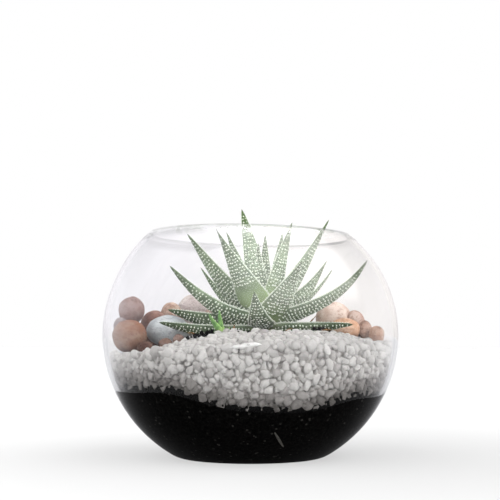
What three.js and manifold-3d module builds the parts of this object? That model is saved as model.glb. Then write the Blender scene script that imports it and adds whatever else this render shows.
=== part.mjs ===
// A glass plant terrarium: a blown bubble bowl with soil, crushed gravel, pebbles and one rosette of
// a zebra-type haworthia. Millimetres, +Z up, origin at the middle of the bowl's flat base. The front is
// towards -Y. Turns are in degrees from +X, anticlockwise seen from above.

import * as THREE from 'three';
import { mergeVertices } from 'three/addons/utils/BufferGeometryUtils.js';
import Module from 'manifold-3d';

// ---- driving dimensions ----------------------------------------------------------------------------

const BOWL_RADIUS = 75; // a 15 cm bubble bowl
const BOWL_HALF_HEIGHT = 70.7; // of the ellipse that the blown wall follows
const BOWL_MIDDLE = 61.6; // height of its widest ring
const WALL = 2.2;
const FLOOR = 4.5; // thickness of the glass under the soil
const FOOT_RADIUS = 34; // edge of the flat base
const HEEL_TOP = 2.2; // the heel rounds off over this height
const RIM_HEIGHT = 113.1; // outer edge of the cut mouth
const RIM_SLANT = 1.0; // the mouth stands this much higher at the left, and lower at the right
const RIM_SLANT_START = 85; // below this height the wall is true
const MOUTH_RADIUS = 50; // nominal, that the slant is stated at
const RIM_EASE = 0.7; // the outer edge of the cut is melted back by this much
const RIM_OUTER_INSET = 0.25;
const RIM_FLAT_INSET = 1.3;
const RIM_FLAT_DROP = 0.9;
const RIM_INNER_DROP = 2.1;
const OUTER_STEPS = 5; // rings below the widest one, and again above it
const INNER_STEPS = 10;
const FLOOR_EASE_RISE = 1.5; // the glass floor meets the wall in a soft corner
const FLOOR_EASE_WIDE = 3;
const BOWL_SIDES = 48;

const WALL_CLEARANCE = 0.75; // contents to the true inner wall, with room for its facets
const GAP = 0.35; // between neighbouring pieces

const PLANT_X = 7;
const PLANT_Y = 2;
const PLUG_WIDE = 27.5; // half width of the root ball at its top
const PLUG_DEEP = 23.5;
const PLUG_SPREAD = 2.5; // how much wider it is where it leaves the soil bed
const PLUG_FOOT = 46;
const PLUG_TOP = 60.4;
const STEM_RADIUS = 4.5;
const STEM_FOOT = 52;
const STEM_TOP = 74;
const STEM_SHOULDER = 3; // height of the rounded top
const STEM_SIDES = 16;

const GRAVEL_CREST = 63.2; // top of the gravel round the plant
const CREST_X = 12;
const CREST_Y = 3;
const CREST_RADIUS = 25;
const CHIP = 3.8; // spacing of the corners of the chips' net, so that a chip is about 5 mm across
const CHIP_GROOVE = 2.3; // depth of the grooves between chips
const CHIP_CROWN = 0.6; // a chip's crown over the bed's mean height

const TUBERCLE = 0.45; // height of the leaf's raised dots
const TOOTH = 0.4; // height of the teeth along its edges
const LEAF_SIDES = 8;
const LEAF_ROW = 5.9; // spacing of the rows along a leaf
const LEAF_FEWEST_ROWS = 5;
const LEAF_PULL = 0.38; // how far the curve follows its two leans, in shares of the chord
const LEAF_SMOOTH_FROM = 0.93; // the tip carries no dots from this share of the length on
const LEAF_KEEL = 1.25; // depth of the underside in half thicknesses
const LEAF_CROWN = 0.55; // and height of the upper side
const LEAF_EDGE = 0.7; // how far its edges lie above the spine, in the same measure

// ---- small tools -----------------------------------------------------------------------------------

const wasm = await Module();
wasm.setup();

const radians = THREE.MathUtils.degToRad;
const smooth = THREE.MathUtils.smoothstep;
const mix = THREE.MathUtils.lerp;

/** A repeatable row of numbers from 0 to 1. */
function randomRow(seed) {
  let state = seed;
  return () => {
    state = (state + 0x6d2b79f5) | 0;
    let t = Math.imul(state ^ (state >>> 15), 1 | state);
    t = (t + Math.imul(t ^ (t >>> 7), 61 | t)) ^ t;
    return ((t ^ (t >>> 14)) >>> 0) / 4294967296;
  };
}

/** A closed ring of points. Its turns run from shift to just under 1 + shift. */
function ring(count, shift, pointAt) {
  const turns = [];
  const points = [];
  for (let i = 0; i < count; i += 1) {
    const turn = (i + shift) / count;
    turns.push(turn);
    points.push(pointAt(turn * 2 * Math.PI, i));
  }
  return { turns, points };
}

/** A pole that closes a skin. */
function pole(point) {
  return { turns: [0], points: [point] };
}

/** Triangles between two rings that may hold different numbers of points. */
function stitch(lower, upper, lowerStart, upperStart, faces) {
  const lowerCount = lower.points.length;
  const upperCount = upper.points.length;
  const turnOf = (set, count, i) => (i < count ? set.turns[i] : set.turns[i - count] + 1);
  let a = 0;
  let b = 0;
  const lowerSteps = lowerCount === 1 ? 0 : lowerCount;
  const upperSteps = upperCount === 1 ? 0 : upperCount;
  while (a < lowerSteps || b < upperSteps) {
    const nextLower = a < lowerSteps ? turnOf(lower, lowerCount, a + 1) : Infinity;
    const nextUpper = b < upperSteps ? turnOf(upper, upperCount, b + 1) : Infinity;
    const lowerNow = lowerStart + (a % lowerCount);
    const upperNow = upperStart + (b % upperCount);
    if (nextLower <= nextUpper) {
      a += 1;
      faces.push(lowerNow, lowerStart + (a % lowerCount), upperNow);
    } else {
      b += 1;
      faces.push(upperNow, lowerNow, upperStart + (b % upperCount));
    }
  }
}

/** One closed skin through a row of rings. looped joins the last ring to the first. */
function skin(rings, looped = false) {
  const starts = [];
  const positions = [];
  for (const one of rings) {
    starts.push(positions.length / 3);
    one.points.forEach((p) => positions.push(p.x, p.y, p.z));
  }
  const faces = [];
  const last = looped ? rings.length : rings.length - 1;
  for (let k = 0; k < last; k += 1) {
    const next = (k + 1) % rings.length;
    stitch(rings[k], rings[next], starts[k], starts[next], faces);
  }
  const geometry = new THREE.BufferGeometry();
  geometry.setAttribute('position', new THREE.Float32BufferAttribute(positions, 3));
  geometry.setIndex(faces);
  return geometry;
}

function solidOf(geometry) {
  return new wasm.Manifold(new wasm.Mesh({
    numProp: 3,
    vertProperties: new Float32Array(geometry.attributes.position.array),
    triVerts: new Uint32Array(geometry.index.array),
  }));
}

function geometryOf(solid) {
  const mesh = solid.getMesh();
  const geometry = new THREE.BufferGeometry();
  geometry.setAttribute('position', new THREE.Float32BufferAttribute(mesh.vertProperties, 3));
  geometry.setIndex(new THREE.Uint32BufferAttribute(mesh.triVerts, 1));
  return geometry;
}

/** The largest body of a solid that a cut may have left in several. */
function mainBody(solid) {
  return solid.decompose().reduce((best, one) => (one.volume() > best.volume() ? one : best));
}

const NO_VOLUME = 1e-6;

/** Takes away what the cutters reach. */
function carve(solid, cutters) {
  let left = solid;
  for (const cutter of cutters) {
    if (left.intersect(cutter).volume() > NO_VOLUME) {
      left = mainBody(left.subtract(cutter));
    }
  }
  return left;
}

// ---- the bowl --------------------------------------------------------------------------------------

/** Radius of an upright ellipse round the bowl's middle, at a height. */
function ellipseRadius(halfWidth, halfHeight, height) {
  const rise = (height - BOWL_MIDDLE) / halfHeight;
  return halfWidth * Math.sqrt(Math.max(0, 1 - rise * rise));
}

function innerRadius(height) {
  return ellipseRadius(BOWL_RADIUS - WALL, BOWL_HALF_HEIGHT - WALL, height);
}

/** Outline of the glass: from the axis below, round the outside and the rim, and back inside. */
function bowlOutline() {
  const outline = [new THREE.Vector2(FOOT_RADIUS, 0)];
  const heelRadius = ellipseRadius(BOWL_RADIUS, BOWL_HALF_HEIGHT, HEEL_TOP);
  const heelOut = 0.72; // the middle of the rounded heel, as shares of its width and height
  const heelUp = 0.22;
  outline.push(new THREE.Vector2(mix(FOOT_RADIUS, heelRadius, heelOut), HEEL_TOP * heelUp));
  const outerFrom = Math.asin((HEEL_TOP - BOWL_MIDDLE) / BOWL_HALF_HEIGHT);
  const outerTo = Math.asin((RIM_HEIGHT - RIM_EASE - BOWL_MIDDLE) / BOWL_HALF_HEIGHT);
  for (let i = -OUTER_STEPS; i <= OUTER_STEPS; i += 1) {
    const angle = (Math.abs(i) / OUTER_STEPS) * (i < 0 ? outerFrom : outerTo);
    outline.push(new THREE.Vector2(
      BOWL_RADIUS * Math.cos(angle),
      BOWL_MIDDLE + BOWL_HALF_HEIGHT * Math.sin(angle),
    ));
  }
  // The mouth is cut square to the wall and its two edges are melted round.
  const rimOuter = ellipseRadius(BOWL_RADIUS, BOWL_HALF_HEIGHT, RIM_HEIGHT);
  outline.push(new THREE.Vector2(rimOuter - RIM_OUTER_INSET, RIM_HEIGHT));
  outline.push(new THREE.Vector2(rimOuter - RIM_FLAT_INSET, RIM_HEIGHT - RIM_FLAT_DROP));
  const innerWide = BOWL_RADIUS - WALL;
  const innerHigh = BOWL_HALF_HEIGHT - WALL;
  const innerFrom = Math.asin((RIM_HEIGHT - RIM_INNER_DROP - BOWL_MIDDLE) / innerHigh);
  const innerTo = Math.asin((FLOOR + FLOOR_EASE_RISE - BOWL_MIDDLE) / innerHigh);
  for (let i = 0; i <= INNER_STEPS; i += 1) {
    const angle = mix(innerFrom, innerTo, i / INNER_STEPS);
    outline.push(new THREE.Vector2(innerWide * Math.cos(angle), BOWL_MIDDLE + innerHigh * Math.sin(angle)));
  }
  outline.push(new THREE.Vector2(innerRadius(FLOOR) - FLOOR_EASE_WIDE, FLOOR));
  return outline;
}

function bowlGeometry() {
  const slanted = (x, y, z) => {
    const share = smooth(z, RIM_SLANT_START, RIM_HEIGHT);
    return new THREE.Vector3(x, y, z - (RIM_SLANT * share * x) / MOUTH_RADIUS);
  };
  const rings = bowlOutline().map((p) => ring(BOWL_SIDES, 0, (turn) => (
    slanted(p.x * Math.cos(turn), p.x * Math.sin(turn), p.y)
  )));
  const below = pole(new THREE.Vector3(0, 0, 0));
  const above = pole(new THREE.Vector3(0, 0, FLOOR));
  return skin([below, ...rings, above]);
}

// ---- soil and gravel -------------------------------------------------------------------------------

const BED_SIDES = 48;
const SOIL_DIP_TURN = radians(285);
const SOIL_DIP_SPREAD = radians(35);
const SOIL_LEVEL = 38; // against the glass, away from the dip
const SOIL_DIP = 10.2;
const SOIL_FLOOR_RINGS = [[18, 17], [36, 34]]; // sides and radius
const SOIL_TOP_RINGS = [[40, 0.84], [30, 0.64], [20, 0.42]]; // sides and share of the root ball's width
const SOIL_WALL_FOOT = 1.9; // above the glass floor
const SOIL_WALL_ROWS = 5;
const CRUMB = 0.5; // the side's roughness
const CLOD = 1.1; // the top's roughness

/** Height of the soil against the glass: it dips at the front, a little right of the middle. */
function soilLine(turn) {
  const fromDip = Math.atan2(Math.sin(turn - SOIL_DIP_TURN), Math.cos(turn - SOIL_DIP_TURN));
  const spread = fromDip / SOIL_DIP_SPREAD;
  const waves = 0.9 * Math.sin(5 * turn + 0.6) + 0.6 * Math.sin(9 * turn + 2);
  return SOIL_LEVEL - SOIL_DIP * Math.exp(-spread * spread) + waves;
}

const GRAVEL_APART = 0.5; // over the soil
const GRAVEL_EDGE = 56; // nominal height of its edge at the glass
const GRAVEL_WALL_SIDES = 118;
const GRAVEL_WALL_ROWS = 6;
const GRAVEL_TOP_ROWS = 10;
const GRAVEL_COUNT_STEP = 6; // the net's rings hold multiples of this many corners
const GRAVEL_STRAY = 0.06; // how far a corner strays from its ring, in shares of the bed's width
const GRAVEL_TURN_STRAY = 0.036; // and along the ring, in radians
const GRAVEL_RISE_STRAY = 2.4;
const GRAVEL_STRANGERS = 0.14; // share of the corners that are raised or sunk against the pattern
const GRAVEL_BRINK = 0.7; // how far the topmost chips at the glass stand up, and their gaps reach down
const CROWN_KEY = 0.3; // moves a crown's turn on in the stitching, so that diagonals run along grooves

/** Height of the gravel, before the relief of its chips. */
function gravelLine(x, y) {
  const dx = x - CREST_X;
  const dy = y - CREST_Y;
  const away = Math.hypot(dx, dy);
  const leftwards = Math.max(0, -dx / Math.max(away, 1));
  const backwards = Math.max(0, dy / Math.max(away, 1));
  const fall = 6.8 + 5.2 * leftwards ** 1.5 - 2.5 * backwards * (1 - leftwards);
  const wall = 62 + 18 * leftwards;
  const share = smooth(away, CREST_RADIUS, wall);
  return GRAVEL_CREST - fall * share;
}

function plugPoint(turn, grow, height) {
  return new THREE.Vector3(
    PLANT_X + (PLUG_WIDE + grow) * Math.cos(turn),
    PLANT_Y + (PLUG_DEEP + grow) * Math.sin(turn),
    height,
  );
}

function wallPoint(turn, height, inset) {
  const radius = innerRadius(height) - WALL_CLEARANCE - inset;
  return new THREE.Vector3(radius * Math.cos(turn), radius * Math.sin(turn), height);
}

/** The soil bed's top, from the foot of the root ball (0) to the glass (1), raised by lift. */
function bedPoint(turn, share, lift, grow) {
  const atPlug = plugPoint(turn, PLUG_SPREAD + grow, PLUG_FOOT + lift);
  const atWall = wallPoint(turn, soilLine(turn) + lift, 0);
  return atPlug.lerp(atWall, share);
}

function soilGeometry() {
  const random = randomRow(11);
  const crumb = () => CRUMB * random();
  const rings = [pole(new THREE.Vector3(0, 0, FLOOR + GAP))];
  for (const [count, radius] of SOIL_FLOOR_RINGS) {
    rings.push(ring(count, 0, (turn) => (
      new THREE.Vector3(radius * Math.cos(turn), radius * Math.sin(turn), FLOOR + GAP)
    )));
  }
  for (let row = 0; row < SOIL_WALL_ROWS; row += 1) {
    rings.push(ring(BED_SIDES, 0, (turn) => {
      const height = mix(FLOOR + SOIL_WALL_FOOT, soilLine(turn), row / (SOIL_WALL_ROWS - 1));
      const edge = row === SOIL_WALL_ROWS - 1;
      return wallPoint(turn, height, edge ? 0 : crumb());
    }));
  }
  for (const share of [0.5, 0]) {
    rings.push(ring(BED_SIDES, 0, (turn) => bedPoint(turn, share, 0, 0)));
  }
  rings.push(ring(BED_SIDES, 0, (turn) => plugPoint(turn, 0, PLUG_TOP)));
  for (const [count, share] of SOIL_TOP_RINGS) {
    rings.push(ring(count, 0, (turn) => new THREE.Vector3(
      PLANT_X + PLUG_WIDE * share * Math.cos(turn),
      PLANT_Y + PLUG_DEEP * share * Math.sin(turn),
      PLUG_TOP + 0.2 + CLOD * random(),
    )));
  }
  const hole = STEM_RADIUS + GAP;
  for (const height of [PLUG_TOP + CLOD / 2, STEM_FOOT - GAP]) {
    rings.push(ring(STEM_SIDES, 0, (turn) => new THREE.Vector3(
      PLANT_X + hole * Math.cos(turn),
      PLANT_Y + hole * Math.sin(turn),
      height,
    )));
  }
  rings.push(pole(new THREE.Vector3(PLANT_X, PLANT_Y, STEM_FOOT - GAP)));
  return skin(rings);
}

/** A ring of the chips' net: every second corner is the crown of a chip, and the rest lie in grooves. */
function chipRing(count, row, pointAt) {
  const isCrown = (i) => (i + row) % 2 === 0;
  const made = ring(count, 0, (turn, i) => pointAt(turn, isCrown(i)));
  made.turns = made.turns.map((turn, i) => turn + (isCrown(i) ? CROWN_KEY / count : 0));
  return made;
}

function gravelGeometry() {
  const random = randomRow(23);
  const stray = (most) => (random() - 0.5) * most;
  const groove = (crown) => {
    const high = random() < GRAVEL_STRANGERS ? !crown : crown;
    return high ? 0.5 * random() : CHIP_GROOVE * (0.5 + 0.5 * random());
  };
  const rings = [];
  for (const share of [0, 0.5, 1]) {
    rings.push(ring(BED_SIDES, 0, (turn) => bedPoint(turn, share, GRAVEL_APART, GRAVEL_APART)));
  }
  for (let row = 1; row <= GRAVEL_WALL_ROWS; row += 1) {
    rings.push(chipRing(GRAVEL_WALL_SIDES, row, (turn, crown) => {
      const edge = innerRadius(GRAVEL_EDGE);
      const top = gravelLine(edge * Math.cos(turn), edge * Math.sin(turn));
      const height = mix(soilLine(turn) + GRAVEL_APART, top, row / GRAVEL_WALL_ROWS);
      const brink = crown ? GRAVEL_BRINK : -GRAVEL_BRINK;
      const wobble = row < GRAVEL_WALL_ROWS ? stray(GRAVEL_RISE_STRAY) : brink;
      return wallPoint(turn + stray(GRAVEL_TURN_STRAY), height + wobble, groove(crown));
    }));
  }
  for (let row = 1; row <= GRAVEL_TOP_ROWS; row += 1) {
    const share = 1 - row / GRAVEL_TOP_ROWS;
    const around = mix(2 * Math.PI * PLUG_DEEP, 2 * Math.PI * BOWL_RADIUS, share);
    const count = GRAVEL_COUNT_STEP * Math.round(around / CHIP / GRAVEL_COUNT_STEP);
    rings.push(chipRing(count, row + GRAVEL_WALL_ROWS, (turn, crown) => {
      const inner = plugPoint(turn + stray(GRAVEL_TURN_STRAY), GRAVEL_APART + 0.2, 0);
      const outer = wallPoint(turn, GRAVEL_EDGE, 0.8 * CHIP_GROOVE);
      const point = inner.lerp(outer, share + (row < GRAVEL_TOP_ROWS ? stray(GRAVEL_STRAY) : 0));
      point.z = gravelLine(point.x, point.y) + CHIP_CROWN - groove(crown);
      return point;
    }));
  }
  const halfway = mix(PLUG_FOOT, PLUG_TOP, 0.55);
  rings.push(ring(BED_SIDES, 0, (turn) => plugPoint(turn, GRAVEL_APART + 0.9, halfway)));
  return skin(rings, true);
}

// ---- pebbles ---------------------------------------------------------------------------------------

// Each stone: its middle, its half sizes, its turn about the upright axis, and its colour.
const STONES = [
  ['pebble_terracotta', [-61.0, -7, 60.6], [9.2, 9.8, 8.9], 0, 0xb98568],
  ['pebble_grey_mauve', [-67.2, 3.5, 66.2], [4.2, 5.2, 4.8], 10, 0xa79595],
  ['pebble_mauve_brown', [-62.3, 7.2, 74.2], [7.2, 7.4, 7.4], 0, 0xa08078],
  ['pebble_brown', [-50.6, 15.5, 64.4], [8.4, 7.6, 10.6], -12, 0x9b7468],
  ['pebble_pink_tan', [-42.4, 24, 69.0], [7.2, 7.4, 10.4], 18, 0xb8998a],
  ['pebble_pale_grey', [-30.6, 32.5, 72.2], [9.8, 8.6, 11.8], 25, 0xbdb2ae],
  ['pebble_pinkish', [-21.8, 29.5, 68.4], [6.0, 6.2, 7.4], 0, 0xb79b94],
  ['pebble_blue_grey', [-42.7, 5.2, 63.4], [11.2, 10, 8.9], 8, 0xa9aeb2],
  ['pebble_dark_brown', [-52.3, -13.5, 54.9], [4.4, 4.2, 3.4], 15, 0x6e4f43],
  ['pebble_small_tan', [-42.6, -10, 56.6], [3.6, 3.6, 3.2], 0, 0xa88576],
  ['pebble_small_rose', [-36.0, -9.5, 59.0], [3.2, 3.2, 2.9], 0, 0xaa8d84],
  ['pebble_pale_pink', [45.2, 26.5, 69.6], [10.4, 8.8, 10.2], -10, 0xcbb1a5],
  ['pebble_tan_grey', [56.2, 22.6, 67.0], [6.0, 6.4, 8.4], 0, 0xb89d90],
  ['pebble_orange', [49.2, 9.0, 64.2], [8.0, 8.4, 6.2], 12, 0xc69678],
  ['pebble_small_orange', [60.0, 11.4, 64.2], [4.0, 4.4, 5.4], 0, 0xbd9078],
  ['pebble_edge_tan', [65.2, 3.2, 61.2], [4.5, 4.6, 5.2], 0, 0xc09c86],
];

const STONE_FINE_FROM = 6; // half width above which a stone has the finer net
const STONE_HOLLOW = 0.022; // depth of the hollows, in shares of the half size

/** A worn stone: a ball with a few soft hollows, stretched to its half sizes. */
function stoneGeometry([, middle, half, turn], seed, swell) {
  const ball = new THREE.IcosahedronGeometry(1, half[0] > STONE_FINE_FROM ? 2 : 1);
  ball.deleteAttribute('normal');
  ball.deleteAttribute('uv');
  const stone = mergeVertices(ball, 1e-4);
  const place = stone.attributes.position;
  const p = new THREE.Vector3();
  for (let i = 0; i < place.count; i += 1) {
    p.fromBufferAttribute(place, i).normalize();
    const waves = Math.sin(2.3 * p.x + seed) + Math.sin(2.7 * p.y + 1.7 * seed)
      + Math.sin(2.1 * p.z + 2.9 * seed);
    p.multiplyScalar(1 - STONE_HOLLOW * (waves + 1.5));
    p.set(p.x * (half[0] + swell), p.y * (half[1] + swell), p.z * (half[2] + swell));
    place.setXYZ(i, p.x, p.y, p.z);
  }
  stone.rotateZ(radians(turn));
  stone.translate(...middle);
  return stone;
}

// ---- the plant -------------------------------------------------------------------------------------

const BLUNT_POINT = 0.8;
// Each leaf, from the heart outwards: the way it points, the height of its foot on the stem, how far its
// tip lies from the stem's axis, the tip's height, its lean above level at the foot and at the tip, its
// width and thickness near the foot, its roll about its own length, and how sharply it tapers to its
// point. Each starts inside the stem.
const LEAF_START = 2.5;
const LEAVES = [
  ['leaf_heart_back', 130, 74, 4.6, 109.8, 82, 88, 9, 4, -40, 0.9],
  ['leaf_tall', 145, 72, 14.2, 127.5, 84, 74, 14, 4.6, -48, 0.8],
  ['leaf_heart_right', 335, 72, 15.9, 118.9, 74, 72, 11.5, 5, -45, 0.9],
  ['leaf_back_a', 86.9, 72, 18, 116, 62, 80, 10, 4.4, 0, 0.9],
  ['leaf_back_b', 60, 71, 20.5, 117, 58, 76, 11, 4.4, 25, 0.9],
  ['leaf_left_inner', 165, 72, 20.5, 115.8, 64, 70, 15, 5, 55, 1],
  ['leaf_front_left', 222, 72, 32.6, 113.9, 54, 55, 21.5, 6, 26, 1.3],
  ['leaf_right_upper', 2, 70, 33.9, 121.2, 51, 62, 19.5, 6, -38, 1.1],
  ['leaf_front_right', 304, 66, 33, 97.5, 46, 48, 20.5, 6, -16, 1.1],
  ['leaf_back_right', 22, 68, 36.4, 101.1, 22, 60, 19.5, 5.4, -58, 1.1],
  ['leaf_back_left', 176, 68, 40.3, 114.4, 42, 56, 20, 6.4, 40, 0.95],
  ['leaf_rear', 105, 67, 30, 98, 35, 62, 13, 5.4, 0, 0.9],
  ['leaf_left_small', 150, 67, 39, 97.9, 22, 56, 12.5, 5, 62, 1],
  ['leaf_right_thin', 40, 67, 50, 97.9, 18, 50, 10, 4.6, -42, 0.9],
  ['leaf_front', 259, 65, 27, 82.7, 10, 66, 15.5, 6, 0, 1],
  ['leaf_left_long', 203, 66.5, 51.3, 95.6, 10, 48, 13.5, 6.8, 32, 0.85],
  ['leaf_right_long', 345, 66.5, 54, 99.2, 18, 60, 13.5, 6.2, -32, 0.85],
  ['leaf_rear_left', 125, 65, 38, 84, 14, 44, 13, 5.4, 0, 0.9],
  ['leaf_rear_right', 75, 65, 38, 86, 14, 48, 13, 5.4, 0, 0.9],
  ['leaf_left_low', 186, 64, 49.6, 74.3, 4, 20, 17, 8, 44, 0.8],
  ['leaf_left_lowest', 193, 61.4, 54.4, 67.6, -2, 15, 14, 6.8, 34, 0.7],
  ['leaf_right_low', 350, 62.4, 45.8, 66.6, 1, 6, 13.5, 7, -34, 0.75],
].map(([name, turn, foot, reach, tip, from, to, wide, thick, roll, point]) => (
  { name, turn, foot, reach, tip, from, to, wide, thick, roll, point, start: LEAF_START }
));

/** The line that the middle of a leaf follows, in a frame whose origin is on the stem's axis. */
function leafSpine(leaf) {
  const outwards = new THREE.Vector3(Math.cos(radians(leaf.turn)), Math.sin(radians(leaf.turn)), 0);
  const upwards = new THREE.Vector3(0, 0, 1);
  const heading = (lean) => outwards.clone().multiplyScalar(Math.cos(radians(lean)))
    .addScaledVector(upwards, Math.sin(radians(lean)));
  const start = upwards.clone().multiplyScalar(leaf.foot).addScaledVector(outwards, leaf.start);
  const end = upwards.clone().multiplyScalar(leaf.tip).addScaledVector(outwards, leaf.reach);
  const pull = start.distanceTo(end) * LEAF_PULL;
  return new THREE.CubicBezierCurve3(
    start,
    start.clone().addScaledVector(heading(leaf.from), pull),
    end.clone().addScaledVector(heading(leaf.to), -pull),
    end,
  );
}

/** Share of the full width at a share of the length: widest near the foot, then a long taper. */
function leafTaper(share, point) {
  const foot = mix(0.72, 1, smooth(share, 0, 0.2));
  return foot * Math.max(0, 1 - share) ** point * (1 + 0.35 * share);
}

/** A fleshy leaf: nearly flat above, keeled below, toothed at the edges and dotted with tubercles. */
function leafGeometry(leaf, swell, bumps) {
  const spine = leafSpine(leaf);
  const half = LEAF_SIDES / 2;
  const across = new THREE.Vector3(-Math.sin(radians(leaf.turn)), Math.cos(radians(leaf.turn)), 0);
  const length = spine.getLength();
  const rows = Math.max(LEAF_FEWEST_ROWS, Math.round(length / LEAF_ROW));
  const first = spine.getPoint(0);
  const rings = [];
  for (let row = 0; row < rows; row += 1) {
    const share = mix(0.02, 0.95, row / (rows - 1));
    const middle = spine.getPointAt(share);
    const along = spine.getTangentAt(share);
    const side = across.clone().applyAxisAngle(along, radians(leaf.roll));
    const above = new THREE.Vector3().crossVectors(along, side);
    const taper = leafTaper(share, leaf.point);
    const halfWide = 0.5 * leaf.wide * taper + swell;
    const halfThick = 0.5 * leaf.thick * (0.25 + 0.75 * taper) * (1 - 0.35 * share);
    rings.push(ring(LEAF_SIDES, 0, (turn, i) => {
      // The edges are points 0 and half. Those between lie on the upper side, the rest on the keeled one.
      const edge = i % half === 0;
      const below = i > half;
      const raised = bumps && share < LEAF_SMOOTH_FROM && (i + row) % 2 === 0;
      const bump = raised ? (edge ? TOOTH : below ? TUBERCLE : TUBERCLE * 0.6) : 0;
      const reach = edge ? 1 : 0.88;
      const bulge = Math.abs(Math.sin(turn));
      const depth = below ? -LEAF_KEEL * bulge ** 0.9 : LEAF_CROWN * bulge;
      return middle.clone()
        .addScaledVector(side, Math.cos(turn) * (halfWide * reach + (edge ? bump : 0)))
        .addScaledVector(above, LEAF_EDGE * halfThick + depth * (halfThick + swell))
        .addScaledVector(above, edge ? 0 : Math.sign(depth) * bump);
    }));
  }
  const tip = spine.getPoint(1).addScaledVector(spine.getTangent(1), swell * 3);
  const root = first.clone().addScaledVector(spine.getTangent(0), -swell);
  return skin([pole(root), ...rings, pole(tip)]);
}

function stemGeometry(swell) {
  const radius = STEM_RADIUS + swell;
  const outline = [
    [radius, STEM_FOOT - swell],
    [radius, STEM_TOP - STEM_SHOULDER],
    [radius * 0.8, STEM_TOP - STEM_SHOULDER / 3 + swell],
  ];
  const rings = outline.map(([wide, height]) => ring(STEM_SIDES, 0, (turn) => (
    new THREE.Vector3(wide * Math.cos(turn), wide * Math.sin(turn), height)
  )));
  return skin([
    pole(new THREE.Vector3(0, 0, STEM_FOOT - swell)),
    ...rings,
    pole(new THREE.Vector3(0, 0, STEM_TOP + swell)),
  ]);
}

// The young shoot stands in the soil at the plant's left foot. Places are from the stem's axis.
const SHOOT = { x: -21, y: -13, z: 60.6 };
const SHOOT_KNOB = [[1.7, -2], [1.9, 0.5], [1.3, 2.4]]; // radius and height
const SHOOT_KNOB_FOOT = -2.6;
const SHOOT_KNOB_TOP = 3;
// Turn, foot, reach, tip, lean at the foot and at the tip, width, thickness, roll, start from the axis.
const SHOOT_LEAVES = [
  [176, 1.4, 7.2, 11.6, 50, 66, 4.6, 2.2, 50, 0.3],
  [165, 1.4, 2, 13.6, 70, 84, 4.8, 2.4, 60, 0.2],
  [330, 1.4, 4.4, 4.6, 30, 60, 3.8, 2, 0, 0.3],
  [205, 1.2, 5.4, 2.6, 4, 20, 4.2, 1.8, 0, 0.3],
].map(([turn, foot, reach, tip, from, to, wide, thick, roll, start]) => (
  { turn, foot, reach, tip, from, to, wide, thick, roll, start, point: BLUNT_POINT }
));

/** The shoot's leaves fused with the knob that they grow from, and its short root. */
function shootSolid(swell) {
  const rings = SHOOT_KNOB.map(([wide, height]) => ring(LEAF_SIDES, 0, (turn) => (
    new THREE.Vector3((wide + swell) * Math.cos(turn), (wide + swell) * Math.sin(turn), height)
  )));
  const low = pole(new THREE.Vector3(0, 0, SHOOT_KNOB_FOOT - swell));
  const high = pole(new THREE.Vector3(0, 0, SHOOT_KNOB_TOP + swell));
  let shoot = solidOf(skin([low, ...rings, high]));
  SHOOT_LEAVES.forEach((leaf) => {
    shoot = shoot.add(solidOf(leafGeometry(leaf, swell, false)));
  });
  return shoot.translate([SHOOT.x, SHOOT.y, SHOOT.z]);
}

// Dry curled leaf remains, each leaning on the soil or on the foot of a leaf: the place of its foot from
// the stem's axis, its turn, its reach and rise, its lean at the foot and at the tip, and its width.
const DRY_THICK = 1.5;
const DRY_ROLL = 20;
const DRY_LEAVES = [
  ['dry_leaf_left', -33, -15.4, 59.7, 160, 6, 2.6, 50, -10, 2.2],
  ['dry_leaf_shoot', -16, -13.5, 60.9, 70, 4, 5.6, 60, 30, 2.4],
  ['dry_leaf_front', 9.5, -15.5, 60.9, 20, 5, 3.4, 60, -10, 2.2],
  ['dry_leaf_right', 22, 9, 62, 350, 5.6, 9.6, 70, 40, 2.6],
  ['dry_leaf_low', 27.5, -10.5, 62.2, 345, 6.5, 1.4, 25, -20, 2],
].map(([name, x, y, z, turn, reach, tip, from, to, wide]) => {
  const same = { foot: 0, start: 0, thick: DRY_THICK, roll: DRY_ROLL, point: BLUNT_POINT };
  return { name, x, y, z, turn, reach, tip, from, to, wide, ...same };
});

function dryLeafSolid(dry, swell) {
  return solidOf(leafGeometry(dry, swell, false)).translate([dry.x, dry.y, dry.z]);
}

// ---- putting it together ---------------------------------------------------------------------------

const GLASS = { color: 0xe8eeee, roughness: 0.05, metalness: 0, transparent: true, opacity: 0.35 };
const SOIL = { color: 0x1a1918, roughness: 0.95, metalness: 0 };
const GRAVEL = { color: 0xcdcac8, roughness: 0.8, metalness: 0 };
const GREEN = { color: 0x55704a, roughness: 0.5, metalness: 0 };
const YOUNG_GREEN = { color: 0x6eb43c, roughness: 0.45, metalness: 0 };
const DRY_BROWN = { color: 0x8a6a42, roughness: 0.9, metalness: 0 };
const STEM_GREEN = { color: 0x6f7d52, roughness: 0.7, metalness: 0 };

/** A named mesh. seat is the point that the piece is placed by, in its group's frame. */
function piece(name, geometry, look, seat = new THREE.Vector3()) {
  geometry.translate(-seat.x, -seat.y, -seat.z);
  geometry.computeVertexNormals();
  const mesh = new THREE.Mesh(geometry, new THREE.MeshStandardMaterial(look));
  mesh.name = name;
  mesh.position.copy(seat);
  return mesh;
}

const terrarium = new THREE.Group();
const filling = new THREE.Group();
const plant = new THREE.Group();
plant.position.set(PLANT_X, PLANT_Y, 0);
terrarium.add(filling, plant);

terrarium.add(piece('bowl', bowlGeometry(), GLASS));

// The plant first, because the stones and the ground give way to it.
const grown = [solidOf(stemGeometry(GAP))];
plant.add(piece('stem', stemGeometry(0), STEM_GREEN, new THREE.Vector3(0, 0, STEM_FOOT)));

const shoot = carve(shootSolid(0), grown);
const plantParts = [['offset_shoot', shoot, YOUNG_GREEN]];
grown.push(shootSolid(GAP));

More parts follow.
